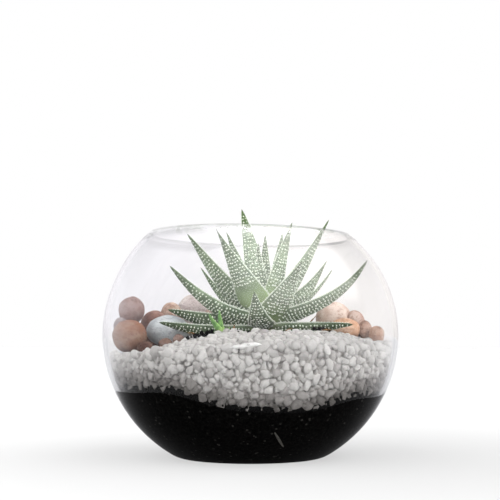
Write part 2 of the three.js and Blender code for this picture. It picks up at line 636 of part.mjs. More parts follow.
for (const leaf of LEAVES) {
  const solid = carve(solidOf(leafGeometry(leaf, 0, true)), grown);
  plantParts.push([leaf.name, solid, GREEN]);
  grown.push(solidOf(leafGeometry(leaf, GAP + TUBERCLE, false)));
}
for (const dry of DRY_LEAVES) {
  plantParts.push([dry.name, carve(dryLeafSolid(dry, 0), grown), DRY_BROWN]);
  grown.push(dryLeafSolid(dry, GAP));
}
plantParts.forEach(([name, solid, look]) => {
  const box = solid.boundingBox();
  const seat = new THREE.Vector3(box.min[0], box.min[1], box.min[2]);
  plant.add(piece(name, geometryOf(solid), look, seat));
});

const plantSpace = grown.map((solid) => solid.translate([PLANT_X, PLANT_Y, 0]));

const laid = [];
STONES.forEach((stone, i) => {
  const solid = carve(solidOf(stoneGeometry(stone, i + 1, 0)), [...laid, ...plantSpace]);
  const [name, middle, , , color] = stone;
  const look = { color, roughness: 0.7, metalness: 0 };
  filling.add(piece(name, geometryOf(solid), look, new THREE.Vector3(...middle)));
  laid.push(solidOf(stoneGeometry(stone, i + 1, GAP)));
});

const gravel = carve(solidOf(gravelGeometry()), [...laid, ...plantSpace]);
filling.add(piece('gravel', geometryOf(gravel), GRAVEL));
const soil = carve(solidOf(soilGeometry()), plantSpace);
filling.add(piece('soil', geometryOf(soil), SOIL));

export default terrarium;
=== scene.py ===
"""A glass plant terrarium: a clear bubble bowl with black soil, pale gravel, worn pebbles and one
white-dotted succulent rosette. Lengths are in millimetres until a piece is settled into place."""

import random
from bisect import bisect
from itertools import product
from math import acos, asin, atan2, cos, exp, floor, hypot, pi, radians, sin, sqrt, tau

import bmesh
import bpy
from mathutils import Matrix, Vector, noise
from mathutils.bvhtree import BVHTree
from mathutils.geometry import interpolate_bezier


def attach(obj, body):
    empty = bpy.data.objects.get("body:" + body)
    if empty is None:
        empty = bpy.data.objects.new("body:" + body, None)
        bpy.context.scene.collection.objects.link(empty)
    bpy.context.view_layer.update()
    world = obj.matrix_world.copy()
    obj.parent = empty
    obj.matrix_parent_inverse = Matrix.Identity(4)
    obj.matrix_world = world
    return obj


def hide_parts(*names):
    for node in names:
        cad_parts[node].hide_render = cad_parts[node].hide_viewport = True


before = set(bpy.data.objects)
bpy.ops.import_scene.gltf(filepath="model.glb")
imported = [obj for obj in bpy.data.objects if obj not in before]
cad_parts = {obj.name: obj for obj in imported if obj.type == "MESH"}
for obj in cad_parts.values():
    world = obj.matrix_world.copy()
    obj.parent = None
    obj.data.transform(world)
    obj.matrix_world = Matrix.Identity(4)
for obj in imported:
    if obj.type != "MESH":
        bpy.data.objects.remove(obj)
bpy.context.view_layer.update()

MM = 0.001
UP = Vector((0, 0, 1))

# ---- sizes shared with the solids

BOWL_RADIUS = 75.0
BOWL_HALF_HEIGHT = 70.7
BOWL_MIDDLE = 61.6
WALL = 2.2
GLASS_FLOOR = 4.5
FOOT_RADIUS = 34.0
HEEL_TOP = 2.2
RIM_SLANT = 1.0
RIM_SLANT_START = 85.0
RIM_HEIGHT = 113.1
MOUTH_RADIUS = 50.0
GLASS_CLEAR = 0.15  # kept between the glass and what lies against it

PLANT = Vector((7, 2, 0))
PLUG_WIDE = 27.5
PLUG_DEEP = 23.5
PLUG_SPREAD = 2.5
PLUG_FOOT = 46.0
PLUG_TOP = 60.4

GRAVEL_CREST = 63.2
CREST = Vector((12, 3, 0))
CREST_RADIUS = 25.0
BESIDE_GLASS = 71.0  # where the gravel's height along the glass is read


def mix(low, high, share):
    return low + (high - low) * share


def eased(value, low, high):
    share = min(1.0, max(0.0, (value - low) / (high - low)))
    return share * share * (3 - 2 * share)


def ellipse_radius(half_width, half_height, height):
    rise = (height - BOWL_MIDDLE) / half_height
    return half_width * sqrt(max(0.0, 1 - rise * rise))


def inner_radius(height):
    return ellipse_radius(BOWL_RADIUS - WALL, BOWL_HALF_HEIGHT - WALL, height)


def soil_line(turn):
    """Height of the soil against the glass."""
    dip = radians(285)
    spread = atan2(sin(turn - dip), cos(turn - dip)) / radians(35)
    waves = 0.9 * sin(5 * turn + 0.6) + 0.6 * sin(9 * turn + 2)
    return 38 - 10.2 * exp(-spread * spread) + waves


def gravel_line(x, y):
    """Height of the gravel bed."""
    dx = x - CREST.x
    dy = y - CREST.y
    away = hypot(dx, dy)
    leftwards = max(0.0, -dx / max(away, 1.0))
    backwards = max(0.0, dy / max(away, 1.0))
    fall = 6.8 + 5.2 * leftwards**1.5 - 2.5 * backwards * (1 - leftwards)
    return GRAVEL_CREST - fall * eased(away, CREST_RADIUS, 62 + 18 * leftwards)


def gravel_line_at_glass(turn):
    return gravel_line(BESIDE_GLASS * cos(turn), BESIDE_GLASS * sin(turn))


def plug_point(turn, height, grow=0.0, share=1.0):
    """A place over the root ball, grown by so much, from its middle (share 0) to its side (1)."""
    x = PLANT.x + (PLUG_WIDE + grow) * share * cos(turn)
    y = PLANT.y + (PLUG_DEEP + grow) * share * sin(turn)
    return Vector((x, y, height))


def wall_point(turn, height, inset):
    """A place on the glass's inside, or inwards from it."""
    radius = inner_radius(height) - inset
    return Vector((radius * cos(turn), radius * sin(turn), height))


def polar(place):
    return hypot(place.x, place.y), atan2(place.y, place.x), place.z


def kept_inside(place, clear=GLASS_CLEAR):
    """Moves a place off the glass."""
    away = hypot(place.x, place.y)
    most = inner_radius(place.z) - clear
    if away > most:
        place.x *= most / away
        place.y *= most / away


# ---- shader maths


def maths(operation, swapped=False):
    """A method that joins a wire, and what it is given, in a maths node."""

    def joined(wire, *others):
        values = (*others, wire) if swapped else (wire, *others)
        return wire.recipe.node("Math", values, operation=operation)

    return joined


class Wire:
    """A node's output that takes part in sums like a number."""

    def __init__(self, recipe, socket):
        self.recipe = recipe
        self.socket = socket

    __add__ = __radd__ = maths("ADD")
    __sub__ = maths("SUBTRACT")
    __rsub__ = maths("SUBTRACT", swapped=True)
    __mul__ = __rmul__ = maths("MULTIPLY")
    __truediv__ = maths("DIVIDE")
    absolute = maths("ABSOLUTE")
    sine = maths("SINE")

    def over(self, low, high):
        """0 below low and 1 above high, with a soft step between."""
        inputs = (self, low, high, 0.0, 1.0)
        return self.recipe.node("MapRange", inputs, interpolation_type="SMOOTHSTEP")


class Recipe:
    """A material, or the studio's light, made of nodes."""

    def __init__(self, owner):
        self.owner = owner
        owner.use_nodes = True
        self.tree = owner.node_tree
        self.tree.nodes.clear()

    def node(self, kind, inputs=(), output=0, **settings):
        """Adds a shader node, sets it, then fills its sockets by place or by name."""
        made = self.tree.nodes.new("ShaderNode" + kind)
        for key, value in settings.items():
            setattr(made, key, value)
        pairs = inputs.items() if isinstance(inputs, dict) else enumerate(inputs)
        for key, value in pairs:
            if value is None:
                continue
            if isinstance(value, Wire):
                self.tree.links.new(value.socket, made.inputs[key])
            else:
                made.inputs[key].default_value = value
        return Wire(self, made.outputs[output]) if made.outputs else None

    def places(self, scale=1000.0):
        """Object coordinates, in millimetres unless another scale is given."""
        here = self.node("TexCoord", output="Object")
        return self.vector("SCALE", here, None, None, scale)

    def vector(self, operation, *values, output="Vector"):
        return self.node("VectorMath", values, output, operation=operation)

    def axis(self, place, name):
        return self.node("SeparateXYZ", (place,), output=name)

    def ray(self, kind):
        """1 where the surface is met by a ray of the given kind, else 0."""
        return self.node("LightPath", output=f"Is {kind} Ray")

    def stretched(self, place, x, y, z):
        return self.vector("MULTIPLY", place, (x, y, z))

    def mottle(self, place, size, detail=3.0, roughness=0.55):
        """Cloudy noise with features of about the given size."""
        inputs = {"Vector": place, "Scale": 1.0 / size, "Detail": detail, "Roughness": roughness}
        return self.node("TexNoise", inputs)

    def grains(self, place, size):
        """Distance from scattered points that lie about the given size apart."""
        return self.node("TexVoronoi", {"Vector": place, "Scale": 1.0 / size})

    def layer(self, name):
        """A number that the mesh carries at each corner."""
        return self.node("Attribute", output="Fac", attribute_name=name)

    def blend(self, share, first, second):
        inputs = {0: share, 6: first, 7: second}
        return self.node("Mix", inputs, output=2, data_type="RGBA", clamp_factor=True)

    def coated(self, colour, *coats):
        """Lays coats over a colour: each coat holds its share and its colour's code."""
        for share, code in coats:
            colour = self.blend(share, colour, tone(code))
        return colour

    def ramp(self, share, *steps):
        """A colour for each share: each step holds a share and its colour's code."""
        made = self.node("ValToRGB", (share,))
        stops = made.socket.node.color_ramp.elements
        while len(stops) < len(steps):
            stops.new(0.5)
        for stop, (place, code) in zip(stops, steps):
            stop.position = place
            stop.color = tone(code)
        return made

    def relief(self, height, depth, distance=0.001):
        return self.node("Bump", {"Height": height, "Strength": depth, "Distance": distance})

    def surface(self, colour, roughness, normal, specular=0.5):
        """Ends a material in one Principled surface."""
        inputs = {"Base Color": colour, "Roughness": roughness, "Normal": normal}
        inputs["Specular IOR Level"] = specular
        shader = self.node("BsdfPrincipled", inputs)
        self.node("OutputMaterial", (shader,))
        return self.owner


def recipe(name):
    return Recipe(bpy.data.materials.new(name))


def tone(code):
    """A colour as seen on a screen, given in linear light."""
    parts = [int(code[i : i + 2], 16) / 255 for i in (0, 2, 4)]
    linear = [p / 12.92 if p <= 0.04045 else ((p + 0.055) / 1.055) ** 2.4 for p in parts]
    return (*linear, 1.0)


# ---- finishes


def glass_finish():
    """Clear blown glass, very slightly wavy, with a few dry water marks."""
    glass = recipe("blown_glass")
    place = glass.places()
    height = glass.axis(place, "Z")
    swirl = glass.mottle(glass.stretched(place, 1, 1, 2.2), 26, 2)
    marks = glass.mottle(place, 7, 5).over(0.66, 0.74) * glass.mottle(place, 40).over(0.5, 0.65)
    tint = glass.blend(swirl, (0.995, 0.996, 0.998, 1), (0.985, 0.988, 0.992, 1))
    inputs = {
        "Base Color": tint,
        "Roughness": marks * 0.05,
        "IOR": 1.46,
        "Transmission Weight": 1.0,
        "Alpha": 1 - height.over(107.0, 112.5) * 0.5 - height.over(111.6, 112.6) * 0.25,
        "Normal": glass.relief(swirl, 0.015),
    }
    solid = glass.node("BsdfPrincipled", inputs)
    open_way = glass.node("BsdfTransparent", ((0.97, 0.975, 0.98, 1),))
    both = glass.node("MixShader", (glass.ray("Shadow"), solid, open_way))
    glass.node("OutputMaterial", (both,))
    return glass.owner


FIBRE_TOP = Vector((10.9, -54.5, 17.3))
FIBRE_FOOT = Vector((15.3, -45.0, 9.8))
FIBRE_BEND = 0.5


def fibre(soil, place):
    """One pale root fibre that shows in the soil at the front."""
    along = tuple((FIBRE_FOOT - FIBRE_TOP).normalized())
    length = (FIBRE_FOOT - FIBRE_TOP).length
    reach = soil.vector("SUBTRACT", place, tuple(FIBRE_TOP))
    gone = soil.vector("DOT_PRODUCT", reach, along, output="Value")
    off = soil.vector("LENGTH", soil.vector("CROSS_PRODUCT", reach, along), output="Value")
    inside = gone.over(-0.2, 0.6) * (1 - gone.over(length - 1.5, length))
    bent = off - (gone / length * pi).sine() * FIBRE_BEND
    return (1 - bent.absolute().over(0.08, 0.38)) * inside * 0.7


def soil_finish():
    soil = recipe("potting_soil")
    place = soil.places()
    clods = soil.grains(place, 1.5)
    crumbs = soil.mottle(place, 1.4, 5, 0.75).over(0.35, 0.75)
    flecks = (1 - soil.grains(place, 2.8)).over(0.72, 0.84) * soil.mottle(place, 7).over(0.46, 0.6)
    dark = soil.blend(crumbs, (0.0003, 0.0003, 0.0003, 1), (0.0062, 0.006, 0.0056, 1))
    colour = soil.blend(flecks * 0.22 + fibre(soil, place), dark, (0.11, 0.105, 0.095, 1))
    normal = soil.relief(clods * 0.7 + crumbs, 0.7, 0.0006)
    return soil.surface(colour, crumbs * 0.25 + 0.7, normal, specular=0.0)


def under_bed_finish():
    """The shaded inside of the gravel, seen only between its chips, its grey painted darker than the chips
    as painted shade.
    """
    shade = recipe("gravel_inside_painted_shade")
    place = shade.places()
    dust = shade.mottle(place, 2.4, 4)
    # painted shade: a grey darker than the chips, for the shade in the gaps between them
    colour = shade.blend(dust, tone("8a8682"), tone("b5b1ad"))
    normal = shade.relief(shade.grains(place, 1.7), 0.8, 0.0012)
    return shade.surface(colour, dust * 0.1 + 0.85, normal)


def gravel_finish():
    """Crushed pale stone. Each chip carries its own shade from 0 to 1."""
    gravel = recipe("crushed_stone")
    place = gravel.places()
    cloud = gravel.mottle(place, 1.6, 5, 0.6)
    grain = gravel.mottle(place, 0.35, 3, 0.6)
    steps = ((0.0, "4a4744"), (0.25, "827e7b"), (0.5, "b3b0ad"), (0.85, "c0bdba"), (1.0, "dbd9d6"))
    body = gravel.ramp(gravel.layer("shade"), *steps)
    coats = (cloud.over(0.5, 0.75) * 0.35, "9d9996"), (grain.over(0.55, 0.8) * 0.3, "d4d1ce")
    colour = gravel.coated(body, *coats)
    normal = gravel.relief(grain * 0.5 + cloud, 0.55, 0.0004)
    return gravel.surface(colour, cloud * 0.2 + 0.62, normal, specular=0.25)


def pebble_finish(name, seed, main, pale, dark):
    """A worn river stone: cloudy bands, fine pores and a dusty bloom."""
    stone = recipe(name)
    place = stone.vector("ADD", stone.places(), (seed * 37.0, seed * 11.0, 0))
    cloud = stone.mottle(place, 9, 5, 0.6)
    patch = stone.mottle(stone.stretched(place, 1, 1, 1.8), 3.2, 5, 0.65)
    pores = stone.grains(place, 1.7).over(0.12, 0.36)
    fine = stone.mottle(place, 0.45, 4, 0.7)
    colour = stone.coated(
        tone(main),
        (cloud.over(0.4, 0.62), pale),
        (patch.over(0.5, 0.68) * 0.75, dark),
        (fine.over(0.5, 0.72) * 0.35, pale),
        ((1 - pores) * 0.6, dark),
    )
    normal = stone.relief(patch * 0.8 + fine * 0.5 + pores * 0.3, 0.8, 0.0006)
    return stone.surface(colour, fine * 0.25 + 0.6, normal, specular=0.18)


def leaf_finish():
    """A dark succulent leaf with white dots and white horny edges, its green painted darker low down as
    painted shade.
    """
    leaf = recipe("succulent_leaf")
    place = leaf.places()
    along = leaf.layer("along")
    cloud = leaf.mottle(place, 5, 4)
    fine = leaf.mottle(place, 0.7, 4, 0.65)
    lines = leaf.mottle(leaf.stretched(place, 1.5, 1.5, 0.25), 1.3, 2)
    green = leaf.coated(
        tone("596a50"),
        (cloud.over(0.35, 0.65), "7a8a6e"),
        (lines.over(0.45, 0.7) * 0.35, "435739"),
        (leaf.layer("heart") * 0.8, "98b170"),
        (along.over(0.0, 0.22) * -0.55 + 0.55, "a3b87e"),
        (along.over(0.62, 0.92) * 0.9, "3a4c2a"),
        # painted shade: low on the plant, where the leaves lie in shade, the green darkens towards 2c3a26
        ((1 - leaf.axis(place, "Z").over(62.0, 84.0)) * 0.4, "2c3a26"),
        (along.over(0.975, 0.995) * 0.85, "5b4632"),
    )
    horn = leaf.blend(fine, tone("c6cdbd"), tone("e6e9e0"))
    rim = (leaf.layer("edge") * (fine * 0.9 + 0.5)).over(0.42, 0.8)
    rimmed = leaf.blend(rim * 0.8, green, horn)
    colour = leaf.blend(leaf.layer("dot").over(0.25, 0.75), rimmed, horn)
    normal = leaf.relief(fine * 0.6 + lines, 0.35, 0.0004)
    return leaf.surface(colour, fine * 0.2 + 0.45, normal, specular=0.14)


def young_leaf_finish():
    leaf = recipe("young_leaf")
    place = leaf.places()
    along = leaf.layer("along")
    cloud = leaf.mottle(place, 2.2, 4)
    fine = leaf.mottle(place, 0.4, 3)
    colour = leaf.coated(
        tone("4a7a3a"),
        (cloud.over(0.35, 0.65), "80a860"),
        (leaf.layer("edge") * 0.5, "c4e08a"),
        (along.over(0.0, 0.35) * -0.5 + 0.5, "b9cf80"),
        (along.over(0.93, 0.99) * 0.5, "4d6b2c"),
    )
    normal = leaf.relief(fine, 0.3, 0.0003)
    return leaf.surface(colour, fine * 0.2 + 0.38, normal)


def dry_leaf_finish():
    husk = recipe("dry_husk")
    place = husk.places()
    fibre = husk.mottle(husk.stretched(place, 3, 3, 0.6), 1.2, 5, 0.7)
    patch = husk.mottle(place, 2.0, 4)
    body = husk.ramp(fibre, (0.3, "3a281b"), (0.5, "7a5a39"), (0.72, "b89a68"))
    colour = husk.blend(patch.over(0.5, 0.7) * 0.6, body, tone("54402b"))
    normal = husk.relief(fibre, 0.8, 0.0004)
    return husk.surface(colour, patch * 0.1 + 0.82, normal)


def stem_finish():
    stem = recipe("leaf_scarred_stem")
    place = stem.places()
    rings = stem.mottle(stem.stretched(place, 0.3, 0.3, 2.0), 1.4, 4)
    colour = stem.ramp(rings, (0.35, "4c4a31"), (0.55, "7d8657"), (0.75, "a9a47c"))
    normal = stem.relief(rings, 0.8, 0.0008)
    return stem.surface(colour, rings * 0.2 + 0.65, normal)


# ---- making pieces


def placed(name, data):
    """A new object in the scene."""
    made = bpy.data.objects.new(name, data)
    bpy.context.scene.collection.objects.link(made)
    return made


def settle(mesh, name, finish, slot, *nodes, smooth=True):
    """Turns a mesh in millimetres into a piece of the object."""
    bmesh.ops.scale(mesh, vec=(MM, MM, MM), verts=mesh.verts)
    data = bpy.data.meshes.new(name)
    for face in mesh.faces:
        face.smooth = smooth
    mesh.to_mesh(data)
    mesh.free()
    data.materials.append(finish)
    made = placed(name, data)
    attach(made, "root")
    if nodes:
        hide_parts(*nodes)


def face_out(mesh):
    bmesh.ops.recalc_face_normals(mesh, faces=mesh.faces)


def turned(outline, steps, closed=False):
    """A body of revolution about the upright axis, from a line of (radius, height) points."""
    mesh = bmesh.new()
    corners = [mesh.verts.new((radius, 0, height)) for radius, height in outline]
    pairs = list(zip(corners, corners[1:]))
    if closed:
        pairs.append((corners[-1], corners[0]))
    edges = [mesh.edges.new(pair) for pair in pairs]
    whole_turn = {"cent": (0, 0, 0), "axis": UP, "angle": tau, "steps": steps, "use_merge": True}
    bmesh.ops.spin(mesh, geom=corners + edges, **whole_turn)
    bmesh.ops.remove_doubles(mesh, verts=mesh.verts, dist=1e-4)
    return mesh


def stepped(*corners):
    """Points along a broken line: each corner after the first says how many steps lead to it."""
    line = [corners[0]]
    for radius, height, count in corners[1:]:
        start = line[-1]
        for i in range(1, count + 1):
            line.append((mix(start[0], radius, i / count), mix(start[1], height, i / count)))
    return line


# ---- the bowl

CORNER_START = Vector((FOOT_RADIUS, GLASS_FLOOR))
CORNER_BEND = Vector((40.2, GLASS_FLOOR))
CORNER_TOP = 8.5  # height where the inside wall starts to turn into the floor
HEEL_REACH = 37.05  # where the base's plane meets the wall's tangent
BOWL_STEPS = 160


def inner_corner(share):
    """Radius and height of the inside corner, from the glass floor (0) to the wall (1)."""
    wall = Vector((inner_radius(CORNER_TOP), CORNER_TOP))
    return CORNER_START * (1 - share) ** 2 + CORNER_BEND * 2 * share * (1 - share) + wall * share**2


def arc(half_width, half_height, start, end, steps):
    """Points along the bowl's ellipse, from just past one turn to another."""
    turns = [mix(start, end, i / steps) for i in range(1, steps + 1)]
    return [(half_width * cos(turn), BOWL_MIDDLE + half_height * sin(turn)) for turn in turns]


def bowl_outline():
    """The glass from the axis below, out, up to the melted rim, and down the inside."""
    mid_wide = BOWL_RADIUS - WALL / 2
    mid_high = BOWL_HALF_HEIGHT - WALL / 2
    rim_turn = asin((RIM_HEIGHT - WALL / 2 - BOWL_MIDDLE) / mid_high)
    rim = Vector((mid_wide * cos(rim_turn), BOWL_MIDDLE + mid_high * sin(rim_turn)))
    lean = atan2(sin(rim_turn) / mid_high, cos(rim_turn) / mid_wide)
    heel = ellipse_radius(BOWL_RADIUS, BOWL_HALF_HEIGHT, HEEL_TOP)
    outline = [(FOOT_RADIUS * i / 6, 0.0) for i in range(7)]
    for i in range(1, 9):
        t = i / 8
        reach = (1 - t) ** 2 * FOOT_RADIUS + 2 * t * (1 - t) * HEEL_REACH + t * t * heel
        outline.append((reach, t * t * HEEL_TOP))
    low = asin((HEEL_TOP - BOWL_MIDDLE) / BOWL_HALF_HEIGHT)
    high = asin((rim.y + sin(lean) * WALL / 2 - BOWL_MIDDLE) / BOWL_HALF_HEIGHT)
    outline += arc(BOWL_RADIUS, BOWL_HALF_HEIGHT, low, 0, 40)
    outline += arc(BOWL_RADIUS, BOWL_HALF_HEIGHT, 0, high, 30)[:-1]
    for i in range(13):
        turn = lean + pi * i / 12
        outline.append((rim.x + cos(turn) * WALL / 2, rim.y + sin(turn) * WALL / 2))
    inner_wide = BOWL_RADIUS - WALL
    inner_high = BOWL_HALF_HEIGHT - WALL
    top = asin((rim.y - sin(lean) * WALL / 2 - BOWL_MIDDLE) / inner_high)
    bottom = asin((CORNER_TOP - BOWL_MIDDLE) / inner_high)
    outline += arc(inner_wide, inner_high, top, bottom, 60)
    outline += [tuple(inner_corner(1 - i / 8)) for i in range(1, 9)]
    outline += [(FOOT_RADIUS * (1 - i / 6), GLASS_FLOOR) for i in range(1, 7)]
    return outline


def make_bowl(finish):
    mesh = turned(bowl_outline(), BOWL_STEPS)
    for corner in mesh.verts:
        share = eased(corner.co.z, RIM_SLANT_START, RIM_HEIGHT)
        corner.co.z -= RIM_SLANT * share * corner.co.x / MOUTH_RADIUS
    face_out(mesh)
    settle(mesh, "glass_bowl", finish, "glass", "bowl")


# ---- soil and the body of the gravel

SOIL_CLEAR = -0.1  # from the glass to the soil, which is pressed against it
SOIL_RECESS = 1.1  # by which its upper edge stands back behind the chips
SOIL_CROWN = 1.6  # by which the root ball's top swells
SOIL_LUMPS = 0.9
SOIL_STEPS = 200
BED_STEPS = 180
CHIP_DEPTH = 2.2  # from the chips' crowns to the shaded bed below them
BED_CLEAR = 0.4  # from the soil to the shaded bed

# Both bodies start as stepped drums of radius 1, on which the root ball reaches out to BALL and the glass
# floor to FLAT.
BALL = 0.5
FLAT = 0.75
NEAR = 1e-3
SOIL_DRUM = ((0, 0), (1, 0, 14), (1, 1, 26), (BALL, 1, 8), (BALL, 2, 10), (0, 2, 12))
BED_DRUM = ((BALL, 0), (1, 0, 6), (1, 1, 10), (BALL, 1, 16), (BALL, 0, 4))


def bed_point(turn, share, lift=0.0, grow=0.0):
    """The soil bed's top, from the foot of the root ball (0) to the glass (1)."""
    at_plug = plug_point(turn, PLUG_FOOT + lift, PLUG_SPREAD + grow)
    at_wall = wall_point(turn, soil_line(turn) + lift, SOIL_CLEAR + SOIL_RECESS)
    return at_plug.lerp(at_wall, share)


def make_soil(finish):
    """The soil, from the glass floor up the wall, over the bed and up the root ball to its lumpy top."""
    mesh = turned(stepped(*SOIL_DRUM), SOIL_STEPS)
    for corner in mesh.verts:
        reach, turn, level = polar(corner.co)
        if level < NEAR and reach < 1 - NEAR:
            radius, height = inner_corner(max(0.0, reach - FLAT) / (1 - FLAT))
            radius *= min(1.0, reach / FLAT)
            corner.co = Vector((radius * cos(turn), radius * sin(turn), height + SOIL_CLEAR))
        elif reach > 1 - NEAR:
            recess = SOIL_CLEAR + SOIL_RECESS * eased(level, 0.86, 1.0)
            corner.co = wall_point(turn, mix(CORNER_TOP, soil_line(turn), level), recess)
        elif abs(level - 1) < NEAR:
            corner.co = bed_point(turn, (reach - BALL) / (1 - BALL))
        elif reach > BALL - NEAR:
            corner.co = plug_point(turn, mix(PLUG_FOOT, PLUG_TOP, level - 1), mix(PLUG_SPREAD, 0, level - 1))
        else:
            spot = plug_point(turn, 0, share=reach / BALL)
            swell = SOIL_CROWN * eased(1 - reach / BALL, 0, 0.3)
            lump = SOIL_LUMPS * noise.fractal(spot * 0.35, 1.0, 2.0, 4)
            corner.co = spot + UP * (PLUG_TOP + swell + lump)
    face_out(mesh)
    settle(mesh, "soil_body", finish, "soil", "soil")


def make_under_bed(finish):
    """The inside of the gravel, a ring between the root ball and the glass that the chips lie on."""
    mesh = turned(stepped(*BED_DRUM)[:-1], BED_STEPS, closed=True)
    for corner in mesh.verts:
        reach, turn, level = polar(corner.co)
        share = (reach - BALL) / (1 - BALL)
        if level < NEAR:
            spot = bed_point(turn, share, BED_CLEAR, BED_CLEAR)
        elif share > 1 - NEAR:
            top = gravel_line_at_glass(turn) - CHIP_DEPTH
            spot = wall_point(turn, mix(soil_line(turn) + BED_CLEAR, top, level), 0)
        else:
            spot = plug_point(turn, PLUG_FOOT, 0.6).lerp(wall_point(turn, 56, 0), share)
            top = gravel_line(spot.x, spot.y) - CHIP_DEPTH
            spot.z = mix(PLUG_FOOT + 1, top, level)
        kept_inside(spot, CHIP_DEPTH)
        corner.co = spot
    face_out(mesh)
    settle(mesh, "gravel_bed", finish, "gravel", "gravel")


# ---- pebbles

# Node, middle, half sizes, turn, then its main, pale and dark colours.
PEBBLES = [
    ("terracotta", (-61.0, -7, 60.6), (9.2, 9.8, 8.9), 0, "7c4f36", "8c7160", "653624"),
    ("grey_mauve", (-67.2, 3.5, 66.2), (4.2, 5.2, 4.8), 10, "7a6b6a", "918685", "62504e"),
    ("mauve_brown", (-62.3, 7.2, 74.2), (7.2, 7.4, 7.4), 0, "7c5d55", "927d78", "61433c"),
    ("brown", (-50.6, 15.5, 64.4), (8.4, 7.6, 10.6), -12, "785349", "917266", "5a3b32"),
    ("pink_tan", (-42.4, 24, 69.0), (7.2, 7.4, 10.4), 18, "9c7c6d", "b29f91", "7f5f50"),
    ("pale_grey", (-30.6, 32.5, 72.2), (9.8, 8.6, 11.8), 25, "b1a4a1", "c9c0bb", "92847f"),
    ("pinkish", (-21.8, 29.5, 68.4), (6.0, 6.2, 7.4), 0, "9e8378", "b5a19a", "806257"),
    ("blue_grey", (-42.7, 5.2, 63.4), (11.2, 10, 8.9), 8, "a7acaf", "c1c4c5", "8b8f95"),
    ("dark_brown", (-52.3, -13.5, 54.9), (4.4, 4.2, 3.4), 15, "50342c", "654c41", "35211b"),
    ("small_tan", (-42.6, -10, 56.6), (3.6, 3.6, 3.2), 0, "7a6155", "907d75", "5f483d"),
    ("small_rose", (-36.0, -9.5, 59.0), (3.2, 3.2, 2.9), 0, "7c645b", "94827a", "634a3f"),
    ("pale_pink", (45.2, 26.5, 69.6), (10.4, 8.8, 10.2), -10, "c5aa9a", "d9c7bc", "ac8874"),
    ("tan_grey", (56.2, 22.6, 67.0), (6.0, 6.4, 8.4), 0, "a98a7e", "bda99e", "886658"),
    ("orange", (49.2, 9.0, 64.2), (8.0, 8.4, 6.2), 12, "c89c7e", "d9bda9", "aa7a5b"),
    ("small_orange", (60.0, 11.4, 64.2), (4.0, 4.4, 5.4), 0, "95715c", "ad9081", "79533f"),
    ("edge_tan", (65.2, 3.2, 61.2), (4.5, 4.6, 5.2), 0, "a07b66", "b39c8d", "835d49"),
]


def make_pebble(seed, name, middle, half, turn, *colours):
    """A stone worn round, a little uneven and finely pitted."""
    mesh = bmesh.new()
    bmesh.ops.create_icosphere(mesh, subdivisions=5, radius=1)
    shift = Vector((seed * 3.1, seed * 1.7, seed * 2.3))
    for corner in mesh.verts:
        p = corner.co.normalized()
        waves = sin(2.3 * p.x + seed)
        waves += sin(2.7 * p.y + 1.7 * seed)
        waves += sin(2.1 * p.z + 2.9 * seed)
        worn = 0.045 * noise.noise(p * 1.6 + shift) + 0.02 * noise.noise(p * 3.7 + shift)
        pitted = 0.006 * noise.noise(p * 11 + shift)
        corner.co = p * (1 - 0.022 * (waves + 1.5) + worn + pitted)
    bmesh.ops.scale(mesh, vec=half, verts=mesh.verts)
    spin = Matrix.Rotation(radians(turn), 3, "Z")
    bmesh.ops.rotate(mesh, cent=(0, 0, 0), matrix=spin, verts=mesh.verts)
    bmesh.ops.translate(mesh, vec=middle, verts=mesh.verts)
    for corner in mesh.verts:
        kept_inside(corner.co)
    obstacles.append(BVHTree.FromBMesh(mesh))
    node = "pebble_" + name
    finish = pebble_finish(node + "_stone", seed, *colours)
    settle(mesh, node + "_worn", finish, node, node)


# ---- leaves

# Node, the way it points, foot, reach, tip, lean at the foot and the tip, width, thickness, roll, and
# how sharply it tapers.
LEAVES = [
    ("heart_back", 130, 74, 4.6, 109.8, 82, 88, 9, 4, -40, 0.9),
    ("tall", 145, 72, 14.2, 127.5, 84, 74, 14, 4.6, -48, 0.8),
    ("heart_right", 335, 72, 15.9, 118.9, 74, 72, 11.5, 5, -45, 0.9),
    ("back_a", 86.9, 72, 18, 116, 62, 80, 10, 4.4, 0, 0.9),
    ("back_b", 60, 71, 20.5, 117, 58, 76, 11, 4.4, 25, 0.9),
    ("left_inner", 165, 72, 20.5, 115.8, 64, 70, 15, 5, 55, 1),
    ("front_left", 222, 72, 32.6, 113.9, 54, 55, 21.5, 6, 26, 1.3),
    ("right_upper", 2, 70, 33.9, 121.2, 51, 62, 19.5, 6, -38, 1.1),
    ("front_right", 304, 66, 33, 97.5, 46, 48, 20.5, 6, -16, 1.1),
    ("back_right", 22, 68, 36.4, 101.1, 22, 60, 19.5, 5.4, -58, 1.1),
    ("back_left", 176, 68, 40.3, 114.4, 42, 56, 20, 6.4, 40, 0.95),
    ("rear", 105, 67, 30, 98, 35, 62, 13, 5.4, 0, 0.9),
    ("left_small", 150, 67, 39, 97.9, 22, 56, 12.5, 5, 62, 1),
    ("right_thin", 40, 67, 50, 97.9, 18, 50, 10, 4.6, -42, 0.9),
    ("front", 259, 65, 27, 82.7, 10, 66, 15.5, 6, 0, 1),
    ("left_long", 203, 66.5, 51.3, 95.6, 10, 48, 13.5, 6.8, 32, 0.85),
    ("right_long", 345, 66.5, 54, 99.2, 18, 60, 13.5, 6.2, -32, 0.85),
    ("rear_left", 125, 65, 38, 84, 14, 44, 13, 5.4, 0, 0.9),
    ("rear_right", 75, 65, 38, 86, 14, 48, 13, 5.4, 0, 0.9),
    ("left_low", 186, 64, 49.6, 74.3, 4, 20, 17, 8, 44, 0.8),
    ("left_lowest", 193, 61.4, 54.4, 67.6, -2, 15, 14, 6.8, 34, 0.7),
    ("right_low", 350, 62.4, 45.8, 66.6, 1, 6, 13.5, 7, -34, 0.75),
]
LEAF_START = 2.5  # from the plant's axis to a leaf's foot
